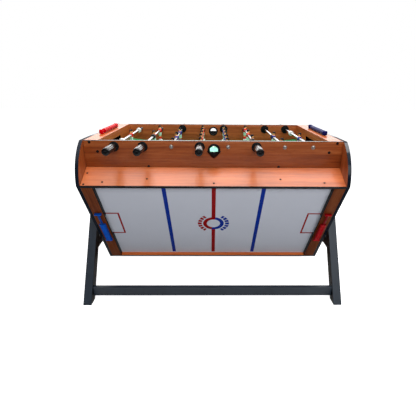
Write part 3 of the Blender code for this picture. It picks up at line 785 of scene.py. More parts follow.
def lacquer(name, inside=False):
    """The stand's slate lacquer, brushed faintly along the bars; a frame's inner faces are near-black,
    painted shade.
    """
    make = Finish(name)
    brushed = make.stretched_noise(2.2, 4.0, 0.6, make.centred(), (34.0, 34.0, 5.0))
    cloudy = make.noise(6.0, 3.0, 0.6)
    peel = make.noise(420.0, 2.0, 0.5)
    rubbed = make.noise(52.0, 5.0, 0.75)
    tone = make.mix(brushed * 0.6 + cloudy * 0.4, tone_of("leg_dark"), tone_of("leg"))
    tone = make.mix(rubbed.over(0.71, 0.06) * 0.30, tone, srgb(96, 104, 112))
    if inside:
        # Painted shade: the legs' and crossbars' inner faces, which lie in shade, are near-black and mirror
        # little
        inner = abs(make.axes()[0]).under(LEG_INSIDE + 0.001)
        tone = make.mix(inner, tone, srgb(8, 9, 11))
        make.set(Metallic=inner * 0.9)
    make.set(Base_Color=tone, Roughness=0.30 + 0.20 * brushed)
    make.bump(peel + brushed * 0.5, 0.00015, 0.3)
    return make.material


def polished(name, tone, rough, scratch=(4.0, 260.0, 260.0)):
    """Polished steel with fine scratches and a few dull finger marks."""
    make, tone = Finish(name), tone_of(tone)
    scratches = make.stretched_noise(6.0, 4.0, 0.7, make.place, scratch)
    marks = make.noise(30.0, 4.0, 0.6)
    shade = make.mix(marks, shaded(tone, 0.86), tone)
    make.set(Base_Color=shade, Metallic=1.0, Roughness=rough + 0.10 * scratches + 0.08 * marks)
    make.bump(scratches, 0.00002, 0.3)
    return make.material


def line(value, middle, width):
    """The mask of a painted line round a middle value."""
    return abs(value - middle).under(width / 2)


def area_line(far, wide, front, side, half):
    """The mask of the line round an area before a goal: its front and its two sides."""
    within = wide.under(side + half) & far.over(front - half)
    return within & (far.under(front + half) | wide.over(side - half))


def pitch_finish(name):
    """The printed green pitch with its white lines and a pale centre spot."""
    make = Finish(name)
    x, y, z = make.axes()
    far, wide = abs(x), abs(y)
    width = settings().pitch_line
    half = width / 2
    radius = make.distance(x, y)
    border = far.under(PITCH_END + half) & wide.under(PITCH_SIDE + half)
    border = border & (far.over(PITCH_END - half) | wide.over(PITCH_SIDE - half))
    before_goal_line = far.under(PITCH_END)
    penalty = area_line(far, wide, PENALTY_FRONT, PENALTY_SIDE, half) & before_goal_line
    goal_area = area_line(far, wide, GOAL_AREA_FRONT, GOAL_AREA_SIDE, half) & before_goal_line
    goal_arc = line(make.distance(far - ARC_PLACE, y), ARC_RADIUS, width) & far.under(PENALTY_FRONT)
    lines = line(x, 0.0, width * 1.6) & wide.under(PITCH_SIDE)
    for mark in (line(radius, CENTRE_RING, width), border, penalty, goal_area, goal_arc):
        lines = lines | mark
    on_top = z.under(PITCH_TOP + 0.001)
    mown = make.math("FRACT", x * MOWN_STRIPES + 0.5).over(0.5, 0.02)
    fibre = make.noise(260.0, 4.0, 0.7)
    base = make.mix(mown * 0.35 + fibre * 0.3, tone_of("pitch"), srgb(0, 112, 60))
    scuffed = make.noise(60.0, 5.0, 0.75)
    white = make.mix(scuffed, srgb(214, 232, 220), srgb(236, 240, 238))
    printed = make.mix((lines & on_top) * (1 - scuffed.over(0.72, 0.05) * 0.5), base, white)
    mint = make.mix(scuffed, srgb(140, 226, 196), srgb(170, 236, 216))
    printed = make.mix(radius.under(CENTRE_SPOT) & on_top, printed, mint)
    make.set(Base_Color=printed, Roughness=0.46 + 0.2 * scuffed, Specular_IOR_Level=0.15)
    make.bump(fibre, 0.0001, 0.3)
    return make.material


def field_finish(name):
    """The white hockey field with its red and blue lines, a split ring and plain ticks round it."""
    make, look = Finish(name), settings()
    x, y, _ = make.axes("hockey")
    far, wide = abs(x), abs(y)
    radius = make.distance(x, y)
    stripe = y.over(STRIPE_LOW_END)
    centre = line(x, 0.0, look.line_width) & radius.over(STRIPE_GAP) & stripe
    blues = line(far, BLUE_LINES, look.line_width) & stripe
    turn = make.math("ARCTAN2", wide, far)
    ticks = line(radius, TICK_RADIUS, TICK_LENGTH) & turn.under(TICK_REACH, 0.02)
    ticks = ticks & make.math("FRACT", turn * TICK_RATE + TICK_SHIFT).under(TICK_SHARE, 0.06)
    ringed = line(radius, RING_RADIUS, RING_WIDTH) | ticks
    crease = area_line(far, wide, CREASE_FRONT, CREASE_SIDE, look.crease_line / 2)
    red_half = (x - y * 0.18).under(0.0)
    cloudy = make.noise(9.0, 4.0, 0.6)
    scuffs = make.stretched_noise(24.0, 5.0, 0.75, make.place, (0.6, 3.0, 3.0))
    white = tone_of("field")
    board = make.mix(cloudy * 0.6 + scuffs * 0.4, shaded(white, 0.94), white)
    worn = 1 - scuffs.over(0.66, 0.05) * 0.05
    board = make.mix((centre | crease | (ringed & red_half)) * worn, board, tone_of("line_red"))
    board = make.mix((blues | (ringed & (1 - red_half))) * worn, board, tone_of("line_blue"))
    make.set(Base_Color=board, Roughness=0.22 + 0.22 * scuffs, Specular_IOR_Level=0.1)
    make.bump(scuffs, 0.00006, 0.25)
    return make.material


def baize(name):
    """Green cloth: short fibres, a faint nap and chalky wear."""
    make, cloth = Finish(name), tone_of("cloth")
    fibres = make.noise(1100.0, 3.0, 0.7)
    nap = make.noise(26.0, 4.0, 0.6)
    weave = make.stretched_noise(1.0, 2.0, 0.5, make.centred(), (900.0, 2600.0, 2600.0))
    tone = make.mix(fibres * 0.5 + nap * 0.3 + weave * 0.2, shaded(cloth, 0.72), shaded(cloth, 1.25))
    chalk = make.noise(70.0, 5.0, 0.75).over(0.70, 0.06)
    make.set(Base_Color=make.mix(chalk * 0.12, tone, srgb(150, 190, 200)), Roughness=0.86 + 0.1 * fibres)
    make.set(Sheen_Weight=0.35, Sheen_Roughness=0.5)
    make.bump(fibres + weave, 0.0003, 0.5)
    return make.material


def painted(name, tone, rough=0.34, gloss=0.4):
    """Brush paint on a man, with small chips and uneven cover."""
    make, tone = Finish(name), tone_of(tone)
    cover = make.noise(140.0, 4.0, 0.65)
    chips = make.noise(300.0, 3.0, 0.7).over(0.74, 0.04)
    shade = make.mix(cover, shaded(tone, 0.84), shaded(tone, 1.10))
    shade = make.mix(chips * 0.25, shade, srgb(120, 116, 110))
    make.set(Base_Color=shade, Roughness=rough + 0.14 * cover, Specular_IOR_Level=gloss)
    make.bump(cover, 0.0001, 0.3)
    return make.material


# Each finish: what makes it, then its arguments
FINISHES = {
    # Painted shade: the football walls' laminate is darker than the ledge's, at 0.70 of the wood's tones
    "wood_wall": (wood, {"along": "X", "black": rim_band, "shade": 0.70, "edge_coat": 0.6}),
    "wood_end": (wood, {"along": "Y", "black": goal_inside, "seed": 3.1, "gloss": 0.30}),
    # The end panels' laminate at 0.63 of the wood's tones: partly a darker tone of their own, partly painted
    # shade for the right panel's inner face
    "wood_panel": (wood, {"along": "Z", "seed": 7.7, "shade": 0.63}),
    "wood_hockey_wall": (
        wood,
        {"along": "X", "face": "hockey", "black": wide_rim_band, "seed": 1.3, "calm": 0.6, "gloss": 0.48},
    ),
    # Painted light: the lower hockey wall's laminate is 1.7 times as light, as if its inner face under the
    # overhang were lit
    "wood_hockey_low": (
        wood,
        {"along": "X", "face": "hockey", "black": rim_band, "seed": 1.3, "shade": 1.7, "calm": 0.6},
    ),
    "wood_hockey_end": (
        wood,
        {"along": "Y", "face": "hockey", "black": inner_edge, "seed": 5.9, "shade": 0.47, "gloss": 0.05},
    ),
    "wood_pool_wall": (wood, {"along": "X", "face": "pool", "black": rim_band, "seed": 2.2}),
    "wood_pool_rail": (wood, {"along": "X", "face": "pool", "seed": 9.4}),
    "edging": (edging_finish, {}),
    "lacquer": (lacquer, {}),
    # The frames: lacquer with painted shade, near-black, on their inner faces
    "lacquer_frame": (lacquer, {"inside": True}),
    "black_plastic": (moulded, {"tone": "plastic", "rough": 0.18, "gloss": 0.32}),
    "matt_black": (moulded, {"tone": (3, 3, 6), "rough": 0.42, "gloss": 0.12}),
    "rubber": (moulded, {"tone": (20, 20, 22), "rough": 0.55, "speck": 0.0003}),
    "steel": (polished, {"tone": "steel", "rough": 0.10, "scratch": (260.0, 4.0, 260.0)}),
    "dull_steel": (polished, {"tone": (150, 146, 142), "rough": 0.32}),
    "screw_black": (moulded, {"tone": (4, 4, 6), "rough": 0.34, "speck": 0.0001, "gloss": 0.12}),
    "pitch": (pitch_finish, {}),
    "field": (field_finish, {}),
    "baize": (baize, {}),
    "white_plastic": (moulded, {"tone": "white"}),
    "counter_red": (moulded, {"tone": "counter_red", "rough": 0.40, "speck": 0.00012, "gloss": 0.08}),
    "counter_navy": (moulded, {"tone": "counter_navy", "rough": 0.40, "speck": 0.00012, "gloss": 0.08}),
    # The two hockey counters carry painted shade low down
    "counter_blue": (moulded, {"tone": "counter_blue", "speck": 0.00012, "gloss": 0.1, "painted_neck_shade": True}),
    "counter_red_low": (moulded, {"tone": "counter_red", "speck": 0.00012, "gloss": 0.1, "painted_neck_shade": True}),
    "team_red": (painted, {"tone": "team_red"}),
    "team_blue": (painted, {"tone": "team_blue"}),
    "shorts": (painted, {"tone": "shorts"}),
    "skin": (painted, {"tone": "skin"}),
    "hair": (painted, {"tone": "hair", "rough": 0.55, "gloss": 0.15}),
    "shoe": (painted, {"tone": "white"}),
}


def finish(name):
    """A material by the name of its finish, made once."""
    made = bpy.data.materials.get("finish_" + name)
    if made:
        return made
    maker, how = FINISHES[name]
    return maker("finish_" + name, **how)


# Pieces


def rod_x(index):
    return (index - (len(RODS) - 1) / 2) * ROD_SPACING


def bulge_points(start, end, bulge, steps):
    """Points of an arc that stands out from the axis by its bulge, without the last one."""
    start, end = Vector(start), Vector(end)
    half = (end - start).length / 2
    radius = (half * half + bulge * bulge) / (2 * bulge)
    outwards = ((start + end) / 2).normalized()
    across = (end - start).normalized()
    centre = (start + end) / 2 - outwards * (radius - bulge)
    reach = math.asin(half / radius)
    turns = [reach * (2 * i / steps - 1) for i in range(steps)]
    return [tuple(centre + radius * (outwards * math.cos(a) + across * math.sin(a))) for a in turns]


def panel_outline():
    """The end panel's edge: three straight sides between three bulging corners."""
    points = []
    for corner in range(3):
        turn = corner * math.tau / 3
        start = Matrix.Rotation(turn, 2) @ Vector((-HALF_WIDTH, RIM))
        end = Matrix.Rotation(turn + math.tau / 3, 2) @ Vector((HALF_WIDTH, RIM))
        points += bulge_points(start, end, CORNER_BULGE, 24) + [tuple(end)]
    return points


def end_panel(side, node):
    """A laminated end panel with its black edging pressed round it, and the pin that it turns on."""
    start = PANEL_INSIDE if side > 0 else -PANEL_OUTSIDE
    thickness = PANEL_OUTSIDE - PANEL_INSIDE
    board = plate(node + "_board", panel_outline(), start, thickness, settings().edging_round)
    paint(board, "wood_panel", "edging")
    for face in board.data.polygons:
        face.material_index = 0 if abs(face.normal.x) > 0.99 else 1
    fitted(board, "table", face="football", replaces=[node], slot="wood")
    shaft, leg = PIVOT_RADIUS - LET_IN, LEG_OUTSIDE - PANEL_OUTSIDE
    profile = (
        (0.0106, 0.0), (shaft, 0.001), (shaft, leg), (0.0175, leg + 0.0006), (0.0185, leg + 0.0022),
        (0.0175, leg + 0.0040), (0.0120, leg + 0.0062), (0.0040, leg + 0.0072),
    )
    pin = turned(node + "_pivot_pin", profile, (side * PANEL_OUTSIDE, 0, 0), (side, 0, 0))
    fitted(pin, "table", "black_plastic", face="football")


def football_wall(side, node):
    """A football side wall, drilled for the rods and the ball cup."""
    low, high = sorted((side * INSIDE, side * HALF_WIDTH))
    wall = block(node + "_board", (-BOARD_END, low, WALL_FOOT), (BOARD_END, high, RIM), settings().edge_round)
    middle = side * (INSIDE + HALF_WIDTH) / 2
    drills = [drill((0, middle, CUP_LEVEL), (0, 1, 0), CUP_HOLE + CUP_CLEARANCE, DRILL_DEPTH)]
    for index, rod in enumerate(RODS):
        radius = BUSHING_HOLE if rod[0] == side else INNER_ROD_HOLE
        drills.append(drill((rod_x(index), middle, ROD_LEVEL), (0, 1, 0), radius, DRILL_DEPTH, 32))
    cut(wall, drills)
    fitted(wall, "table", "wood_wall", face="football", replaces=[node], slot="wood")


def bushing(radius):
    """A rod bushing at the origin, its outer flange towards +Y: a hub, a stepped flange and a nut inside."""
    bore, hub, inside, outside = 0.0072, 0.0122, -0.016, 0.005
    nut = radius + 0.0012
    profile = (
        (bore, outside - 0.0008), (bore + 0.0012, outside), (hub, outside), (0.0130, outside - 0.0010),
        (radius - 0.0032, outside - 0.0016), (radius - 0.0008, outside - 0.0024), (radius, outside - 0.0036),
        (radius, 0.0002), (hub, 0.0), (hub, -0.0120), (nut, -0.0122), (nut, -0.0136),
        (radius + 0.0002, -0.0144), (0.0132, -0.0150), (0.0124, inside), (bore + 0.0010, inside),
        (bore, inside + 0.0008), (bore, outside - 0.0008),
    )
    return turned("bushing", profile, (0, 0, 0), (0, 1, 0), 40, hollow=True)


def bushings():
    """The eight rod bushings, copied from one, and the rings where the inner rods pass the far wall."""
    model = bushing(settings().bushing_radius)
    for index, rod in enumerate(RODS):
        turn = Matrix.Rotation(0 if rod[0] > 0 else math.pi, 4, "Z")
        place = Matrix.Translation((rod_x(index), rod[0] * HALF_WIDTH, ROD_LEVEL)) @ turn
        fitted(copied(model, f"rod_{index + 1}_bushing", place), "table", "matt_black", face="football")
    discard(model)
    for index, rod in enumerate(RODS):
        for kind, wall, out, look in (
            ("ferrule", HALF_WIDTH + LET_IN, -rod[0], "dull_steel"),
            ("collar", INSIDE - LET_IN, rod[0], "matt_black"),
        ):
            place = (rod_x(index), -rod[0] * wall, ROD_LEVEL)
            ring = turned(f"rod_{index + 1}_{kind}", FERRULE, place, (0, out, 0), 32, hollow=True)
            fitted(ring, "table", look, face="football")


def scoop(base):
    """The pointed scoop of a ball cup: a part of a sphere, with a drooping chin."""
    deselect()
    bpy.ops.mesh.primitive_uv_sphere_add(segments=40, ring_count=20, radius=CUP_RADIUS, location=base)
    bowl = added("scoop")
    settle()
    bpy.ops.object.mode_set(mode="EDIT")
    side = math.copysign(1, base[1])
    for offset, away in ((side * 0.0022, (0, side, 0)), (0, (0, 0, -1))):
        bpy.ops.mesh.select_all(action="SELECT")
        bpy.ops.mesh.bisect(plane_co=(0, base[1] + offset, CUP_LEVEL), plane_no=away, clear_inner=True)
    bpy.ops.mesh.select_all(action="SELECT")
    bpy.ops.transform.resize(value=SCOOP_STRETCH, center_override=base)
    shape = bmesh.from_edit_mesh(bowl.data)
    for vert in shape.verts:
        wide = min(1.0, abs(vert.co.x) / (CUP_RADIUS * SCOOP_STRETCH[0]))
        chin = 0.34 + 0.84 * math.sqrt((1 - wide) / (1 + wide))
        vert.co.z = CUP_LEVEL - settings().scoop_drop - (CUP_LEVEL - vert.co.z) * chin
    bmesh.update_edit_mesh(bowl.data)
    finished(bowl)
    applied(bowl, "SOLIDIFY", thickness=0.0026, offset=-1.0)
    return eased(bowl, 0.0007, 50, 40)


def ball_cup(side, name):
    """A ball cup: a flanged sleeve through the wall, and a scoop that stands out under its hole."""
    bore, outer, sleeve = CUP_BORE, CUP_RADIUS, CUP_SLEEVE
    inner = outer - 0.0010
    base = (0, side * HALF_WIDTH, CUP_LEVEL)
    back = INSIDE - HALF_WIDTH
    profile = (
        (bore, 0.0028), (bore + 0.0010, 0.0036), (outer - 0.0022, 0.0034), (outer - 0.0006, 0.0028),
        (outer, 0.0016), (outer, GAP), (sleeve, GAP), (sleeve, back - GAP), (inner, back - GAP),
        (inner, back - 0.0012), (outer - 0.0022, back - 0.0018), (bore + 0.0008, back - 0.0018),
        (bore, back - 0.0010), (bore, 0.0028),
    )
    ring = turned(name, profile, base, (0, side, 0), 48, hollow=True)
    cup = joined(name, [ring, scoop(base)])
    fitted(cup, "table", "matt_black", face="football", replaces=[name], slot="black_plastic")


def rod_stops(men, spacing, offset):
    """(start, end) of the two pieces that stop a rod, along the rod towards its handle."""
    if men == 1:
        places = (offset - STOP_REACH, offset + STOP_REACH)
        return [(place - STOP_HALF, place + STOP_HALF) for place in places]
    near = (men - 1) * spacing / 2 + BUMPER_START
    far = near + BUMPER_LENGTH
    return [(offset - far, offset - near), (offset + near, offset + far)]


def stop_profile(low, high):
    """A goalkeeper's stop: a short drum with rounded edges."""
    bore, r = TUBE_RADIUS - LET_IN, STOP_RADIUS
    return (
        (bore, low), (r - 0.0040, low), (r - 0.0012, low + 0.0012), (r, low + 0.0040), (r, high - 0.0040),
        (r - 0.0012, high - 0.0012), (r - 0.0040, high), (bore, high), (bore, low),
    )


def bumper_profile(low, high):
    """A rubber bumper, drawn in round its middle."""
    bore, r, third = TUBE_RADIUS - LET_IN, BUMPER_RADIUS, (high - low) / 3
    waist = r - 0.0013
    return (
        (bore, low), (r - 0.0014, low), (r, low + 0.0014), (r, low + third), (waist, low + third + 0.0010),
        (waist, high - third - 0.0010), (r, high - third), (r, high - 0.0014), (r - 0.0014, high),
        (bore, high), (bore, low),
    )


def grip(side, x, name):
    """A fluted grip with a smooth collar at the wall and a capped end with a recess."""
    a, b, r = GRIP_START, GRIP_END, GRIP_RADIUS
    profile = (
        (0.0078, a), (r - 0.0032, a), (r - 0.0016, a + 0.0012), (r - 0.0013, a + 0.0060),
        (r - 0.0027, a + 0.0070), (r - 0.0025, a + 0.0080), (r - 0.0006, a + 0.0100), (r, a + 0.0130),
        (r, a + 0.0420), (r, a + 0.0720), (r, b - 0.0130), (r - 0.0006, b - 0.0100), (r - 0.0023, b - 0.0086),
        (r - 0.0021, b - 0.0076), (r - 0.0004, b - 0.0068), (r - 0.0002, b - 0.0036),
        (r - 0.0012, b - 0.0012), (r - 0.0036, b), (0.0072, b), (0.0064, b - 0.0016), (0.0030, b - 0.0020),
    )
    obj = turned(name, profile, (x, 0, ROD_LEVEL), (0, side, 0), GRIP_SEGMENTS, smooth=30)
    start, end = a + 0.0125, b - 0.0125
    every = GRIP_SEGMENTS // settings().flutes
    for vert in obj.data.vertices:
        arm = Vector((vert.co.x - x, 0, vert.co.z - ROD_LEVEL))
        step = round(math.atan2(arm.x, arm.z) / math.tau * GRIP_SEGMENTS)
        if start < abs(vert.co.y) < end and step % every == 0 and arm.length > 0.009:
            vert.co -= arm.normalized() * settings().flute_depth
    soften(30)
    return obj


def football_rod(index):
    """One telescopic rod: tube, stops and grip on the rod's body, and the inner rod on its own."""
    side, men, spacing, offset, _ = RODS[index]
    rod, x = f"rod_{index + 1}", rod_x(index)
    base, along = (x, 0, ROD_LEVEL), (0, side, 0)
    (start, far_high), (near_low, near_high) = rod_stops(men, spacing, offset)
    rounded = TUBE_RADIUS - 0.0005
    profile = (
        (rounded, start), (TUBE_RADIUS, start + 0.0006), (TUBE_RADIUS, TUBE_END - 0.0006),
        (rounded, TUBE_END), (TUBE_BORE, TUBE_END), (TUBE_BORE, start), (rounded, start),
    )
    tube = turned(rod + "_tube", profile, base, along, 24, hollow=True)
    fitted(tube, rod, "steel", face="football", replaces=[rod + "_tube_and_men"], slot="chrome_steel")
    if men == 1:
        kind, look, profile_of = "stop", "white_plastic", stop_profile
    else:
        kind, look, profile_of = "bumper", "rubber", bumper_profile
    for label, low, high in (("far", start, far_high), ("near", near_low, near_high)):
        stop = turned(f"{rod}_{kind}_{label}", profile_of(low, high), base, along, 32, hollow=True)
        fitted(stop, rod, look, face="football")
    handle = grip(side, x, rod + "_grip")
    node = f"handle_{index + 1}"
    fitted(handle, rod, "black_plastic", face="football", replaces=[node], slot="black_plastic")
    body = "inner_" + rod
    inner = turned(body + "_polished", INNER_ROD, base, along, 24)
    for face in inner.data.polygons:
        face.material_index = 1 if side * face.center.y < INNER_ROD_CAP else 0
    fitted(inner, body, "steel", "dull_steel", face="football", replaces=[body], slot="chrome_steel")


def man_arm(side):
    """One arm, held down and a little forwards, its sleeve in the team's colour."""
    arm = turned("arm", ARM, (0.0004, side * 0.0086, 0.0098), (0.10, side * 0.035, -1), 10)
    for face in arm.data.polygons:
        face.material_index = TEAM if face.center.z > SLEEVE_END else SKIN
    return arm


def model_man():
    """One man at the origin, facing +X: sections drawn up from the sole, then two arms, all painted."""
    deselect()
    height, deep, wide, forward = MAN_SECTIONS[0]
    bpy.ops.mesh.primitive_circle_add(vertices=20, radius=1, fill_type="NGON", enter_editmode=True)
    man = added("man")
    bpy.ops.transform.resize(value=(deep, wide, 1), center_override=(0, 0, 0))
    bpy.ops.transform.translate(value=(forward, 0, height))
    for level, d, w, f in MAN_SECTIONS[1:]:
        extrude((f - forward, 0, level - height))
        bpy.ops.transform.resize(value=(d / deep, w / wide, 1), center_override=(f, 0, level))
        height, deep, wide, forward = level, d, w, f
    shape = bmesh.from_edit_mesh(man.data)
    for vert in shape.verts:
        co = vert.co
        between_legs = -0.0595 < co.z < -0.0300 and abs(co.y) < 0.0018
        nose = 0.0175 < co.z < 0.0190 and co.x > 0.004 and abs(co.y) < 0.0012
        eye = 0.0215 < co.z < 0.0230 and co.x > 0.005 and 0.0012 < abs(co.y) < 0.0045
        if between_legs:
            co.x -= math.copysign(0.0034 if co.z > -0.052 else 0.0016, co.x)
        if nose:
            co.x += 0.0016
        if eye:
            co.x -= 0.0009
    bmesh.update_edit_mesh(man.data)
    finished(man, 40)
    for face in man.data.polygons:
        z, back = face.center.z, face.normal.x < -0.15
        if z > BROW or (z > NAPE and back):
            face.material_index = HAIR
        elif z > COLLAR or SOCK_TOP < z < HEM:
            face.material_index = SKIN
        elif z > WAIST or ANKLE < z < SOCK_TOP:
            face.material_index = TEAM
        elif z > HEM:
            face.material_index = SHORTS
        else:
            face.material_index = SHOE
    parts = [man, man_arm(-1), man_arm(1)]
    for part in parts:
        paint(part, *MAN_PAINTS)
    return joined("man", parts)


def place_men():
    """The men on their rods, each team facing the other's goal."""
    model = model_man()
    for index, (side, men, spacing, offset, team) in enumerate(RODS):
        for i in range(men):
            y = side * (offset + (i - (men - 1) / 2) * spacing)
            turn = Matrix.Rotation(0 if team == "red" else math.pi, 4, "Z")
            place = Matrix.Translation((rod_x(index), y, ROD_LEVEL)) @ turn
            man = copied(model, f"rod_{index + 1}_man_{i + 1}", place)
            man.data.materials[TEAM] = finish("team_" + team)
            fitted(man, f"rod_{index + 1}", face="football", slot="team_" + team)
    discard(model)


def bead_row_profile(radius, bore, length):
    """The section of a row of beads that touch at thin necks."""
    row, neck, shoulder = BEADS * length, radius - BEAD_NECK, radius - 0.0008
    profile = []
    for i in range(BEADS):
        edge = row / 2 - i * length
        profile += [
            (neck, edge), (shoulder, edge - 0.0004), (radius, edge - 0.0016),
            (radius, edge - length + 0.0016), (shoulder, edge - length + 0.0004),
        ]
    return profile + [(neck, -row / 2), (bore, -row / 2), (bore, row / 2), (neck, row / 2)]


def counter(name, face, side, lean, look, slot):
    """A score counter along an end rim: a bar between two end blocks, and beads that slide on it."""
    half, cap, cap_width, bar, bore, radius, length, flat = COUNTERS[face]
    x, low = side * COUNTER_X, RIM + GAP
    level = low + 0.001 + radius * flat
    top = level + radius * flat
    lifted, lowered = (Matrix.Translation((0, 0, sign * level)) for sign in (1, -1))
    pressed = lifted @ Matrix.Diagonal((1, 1, flat, 1)) @ lowered
    reach = half - cap / 2
    profile = ((bar - 0.0002, -reach), (bar, 0.001 - reach), (bar, reach - 0.001), (bar - 0.0002, reach))
    pieces = [turned(name + "_bar", profile, (x, 0, level), (0, 1, 0), 20)]
    pieces[0].data.transform(pressed)
    rounding = min(cap, cap_width, top - low) * CAP_ROUNDING_SHARE
    for end in (-1, 1):
        a, b = sorted((end * half, end * (half - cap)))
        corners = (x - cap_width / 2, a, low), (x + cap_width / 2, b, top)
        pieces.append(block(name + "_cap", *corners, rounding, 4))
    rail = joined(name + "_bar_and_caps", pieces)
    fitted(rail, "table", look, face=face, replaces=[name + "_rail"], slot=slot)
    place = (x, lean * (half - cap - GAP - BEADS * length / 2), level)
    profile = bead_row_profile(radius, bore, length)
    beads = turned(name + "_bead_row", profile, place, (0, 1, 0), 28, hollow=True)
    if flat < 1:
        for vert in beads.data.vertices:
            if vert.co.z > level + radius / 2 and abs(vert.co.x - x) < 0.002:
                vert.co.z -= settings().bead_groove
    beads.data.transform(pressed)
    fitted(beads, name, look, face=face, replaces=[name + "_beads"], slot=slot)


def lock_knob(side, where):
    """A clamp: rubber pad, shaft and a five-lobed knob outside the crossbar."""
    node = "lock_knob_" + where
    pad, knob = PANEL_OUTSIDE + GAP, LEG_INSIDE + CROSSBAR_THICKNESS + GAP
    shaft, lobes = 0.0050, 5
    profile = (
        (0.0125, pad), (0.0138, pad + 0.0010), (0.0138, pad + 0.0105), (0.0125, pad + 0.0118),
        (shaft, pad + 0.0120), (shaft, knob), (0.0100, knob), (0.0120, knob + 0.0008),
        (0.0125, knob + 0.0050), (0.0170, knob + 0.0066), (0.0188, knob + 0.0082), (0.0190, knob + 0.0110),
        (0.0190, knob + 0.0180),
        (0.0182, knob + 0.0206), (0.0150, knob + 0.0218), (0.0060, knob + 0.0219), (0.0056, knob + 0.0208),
        (0.0020, knob + 0.0206),
    )
    clamp = turned(node + "_lobed", profile, (0, 0, LOCK_LEVEL), (side, 0, 0), 60)
    for vert in clamp.data.vertices:
        arm = Vector((0, vert.co.y, vert.co.z - LOCK_LEVEL))
        if abs(vert.co.x) > knob + 0.0055 and arm.length > 0.013:
            share = (1 + math.cos(lobes * math.atan2(arm.y, arm.z))) / 2
            vert.co -= arm.normalized() * settings().lobe_depth * (1 - share)
    fitted(clamp, "lock_" + where, "black_plastic", face="football", replaces=[node], slot="black_plastic")


def model_screw(radius):
    """A pan-head screw at the origin, its head towards +Z, with a cross recess."""
    profile = (
        (0.0016, -0.0040), (0.0018, -0.0036), (0.0018, 0.0), (radius, 0.0), (radius, 0.0004),
        (radius * 0.86, 0.0012), (radius * 0.55, 0.0018), (radius * 0.20, 0.0020),
    )
    screw = turned("screw", profile, (0, 0, 0), (0, 0, 1), 24)
    arm, half = radius * 0.62, 0.0005
    bars = [
        block("bar", (-arm, -half, 0.0008), (arm, half, 0.004)),
        block("bar", (-half, -arm, 0.00081), (half, arm, 0.0041)),
    ]
    for bar in bars:
        cut(screw, [bar])
    return screw


def wall_screws(model, face, side, places, name):
    """The screws of one outer wall face, as one piece."""
    turn = Matrix.Rotation(-side * math.pi / 2, 4, "X")
    heads = []
    for i, (x, level) in enumerate(places):
        spin = Matrix.Rotation(0.7 * i + 0.3, 4, "Z")
        place = Matrix.Translation((x, side * HALF_WIDTH, level)) @ turn @ spin
        heads.append(copied(model, f"{name}_{i}", place))
    fitted(joined(name, heads), "table", "screw_black", face=face)


def pool_cups(places):
    """The cups that hang under the pool bed, copied from one."""
    r, floor, top, flange = POCKET_RADIUS, BED_TOP - POCKET_DEPTH, BED_TOP - LET_IN, BED_TOP - 0.0006
    profile = (
        (r + 0.0024, floor), (r + 0.0036, floor + 0.0012), (r + 0.0036, BED_TOP - 0.0093),
        (r + 0.0031, BED_TOP - 0.0090), (r + 0.0031, flange), (r + 0.0024, top), (r + 0.0004, top),
        (r, flange), (r, floor + 0.0060), (r - 0.0040, floor + 0.0040), (0.0060, floor + 0.0040),
        (0.0055, floor + 0.0030),
    )
    model = turned("cup", profile, (0, 0, 0), (0, 0, 1), 40)
    for i, (x, y) in enumerate(places):
        cup = copied(model, f"pool_pocket_{i + 1}", Matrix.Translation((x, y, 0)))
        fitted(cup, "table", "rubber", face="pool")
    discard(model)


def pool_liners(places, length, width):
    """Black liners in the rails' rounded mouths, cut away over the bed."""
    r, foot, lip = POCKET_RADIUS, BED_TOP + 0.0060, RIM + 0.0004
    skin, seat = r - 0.0016, r - LET_IN
    profile = (
        (skin, foot), (skin, RIM - 0.0012), (r - 0.0010, lip), (r + 0.0034, lip), (r + 0.0040, RIM + LET_IN),
        (seat, RIM + LET_IN), (seat, foot), (skin, foot),
    )
    rings = [turned("liner", profile, (x, y, 0), (0, 0, 1), 56, hollow=True) for x, y in places]
    length, width = length + 0.0002, width + 0.0002
    keep_out = block("keep_out", (-length, -width, BED_TOP), (length, width, RIM + 0.01))
    liners = joined("pool_pocket_liners", rings)
    cut(liners, [keep_out])
    fitted(liners, "table", "black_plastic", face="pool")


def cushion(name, start, end, inwards):
    """A cushion along a rail, mitred at its ends, its nose towards the bed."""
    start, end, inwards = Vector(start), Vector(end), Vector(inwards)
    run = (end - start).normalized()
    rise = Vector((0, 0, BED_TOP))
    section = [start + inwards * out + run * out + rise + Vector((0, 0, up)) for out, up in CUSHION]
    obj = flat_face(name, section)
    extrude(end - start)
    shape = bmesh.from_edit_mesh(obj.data)
    for vert in shape.verts:
        if vert.select:
            vert.co -= run * (vert.co - end).dot(inwards) * 2
    bmesh.update_edit_mesh(obj.data)
    finished(obj, 50)
    return eased(obj, 0.0008, 40, 50)


def cushions(length, width):
    """Six cushions between the pockets, covered in the bed's cloth, and the sights along the long rails."""
    runs = []
    for sy in (-1, 1):
        for low, high in ((-length + CUSHION_GAP, -CUSHION_GAP), (CUSHION_GAP, length - CUSHION_GAP)):
            runs.append(((low, sy * width, 0), (high, sy * width, 0), (0, -sy, 0)))
    for sx in (-1, 1):
        reach = width - CUSHION_GAP
        runs.append(((sx * length, -reach, 0), (sx * length, reach, 0), (-sx, 0, 0)))
    for i, run in enumerate(runs):
        fitted(cushion(f"pool_cushion_{i + 1}", *run), "table", "baize", face="pool")
    places = [(x, sy * (width + SIGHT_SETBACK), RIM - GAP) for x in SIGHT_PLACES for sy in (-1, 1)]
    sights = [turned("sight", SIGHT, place, (0, 0, 1), 16) for place in places]
    fitted(joined("pool_rail_sights", sights), "table", "white_plastic", face="pool")


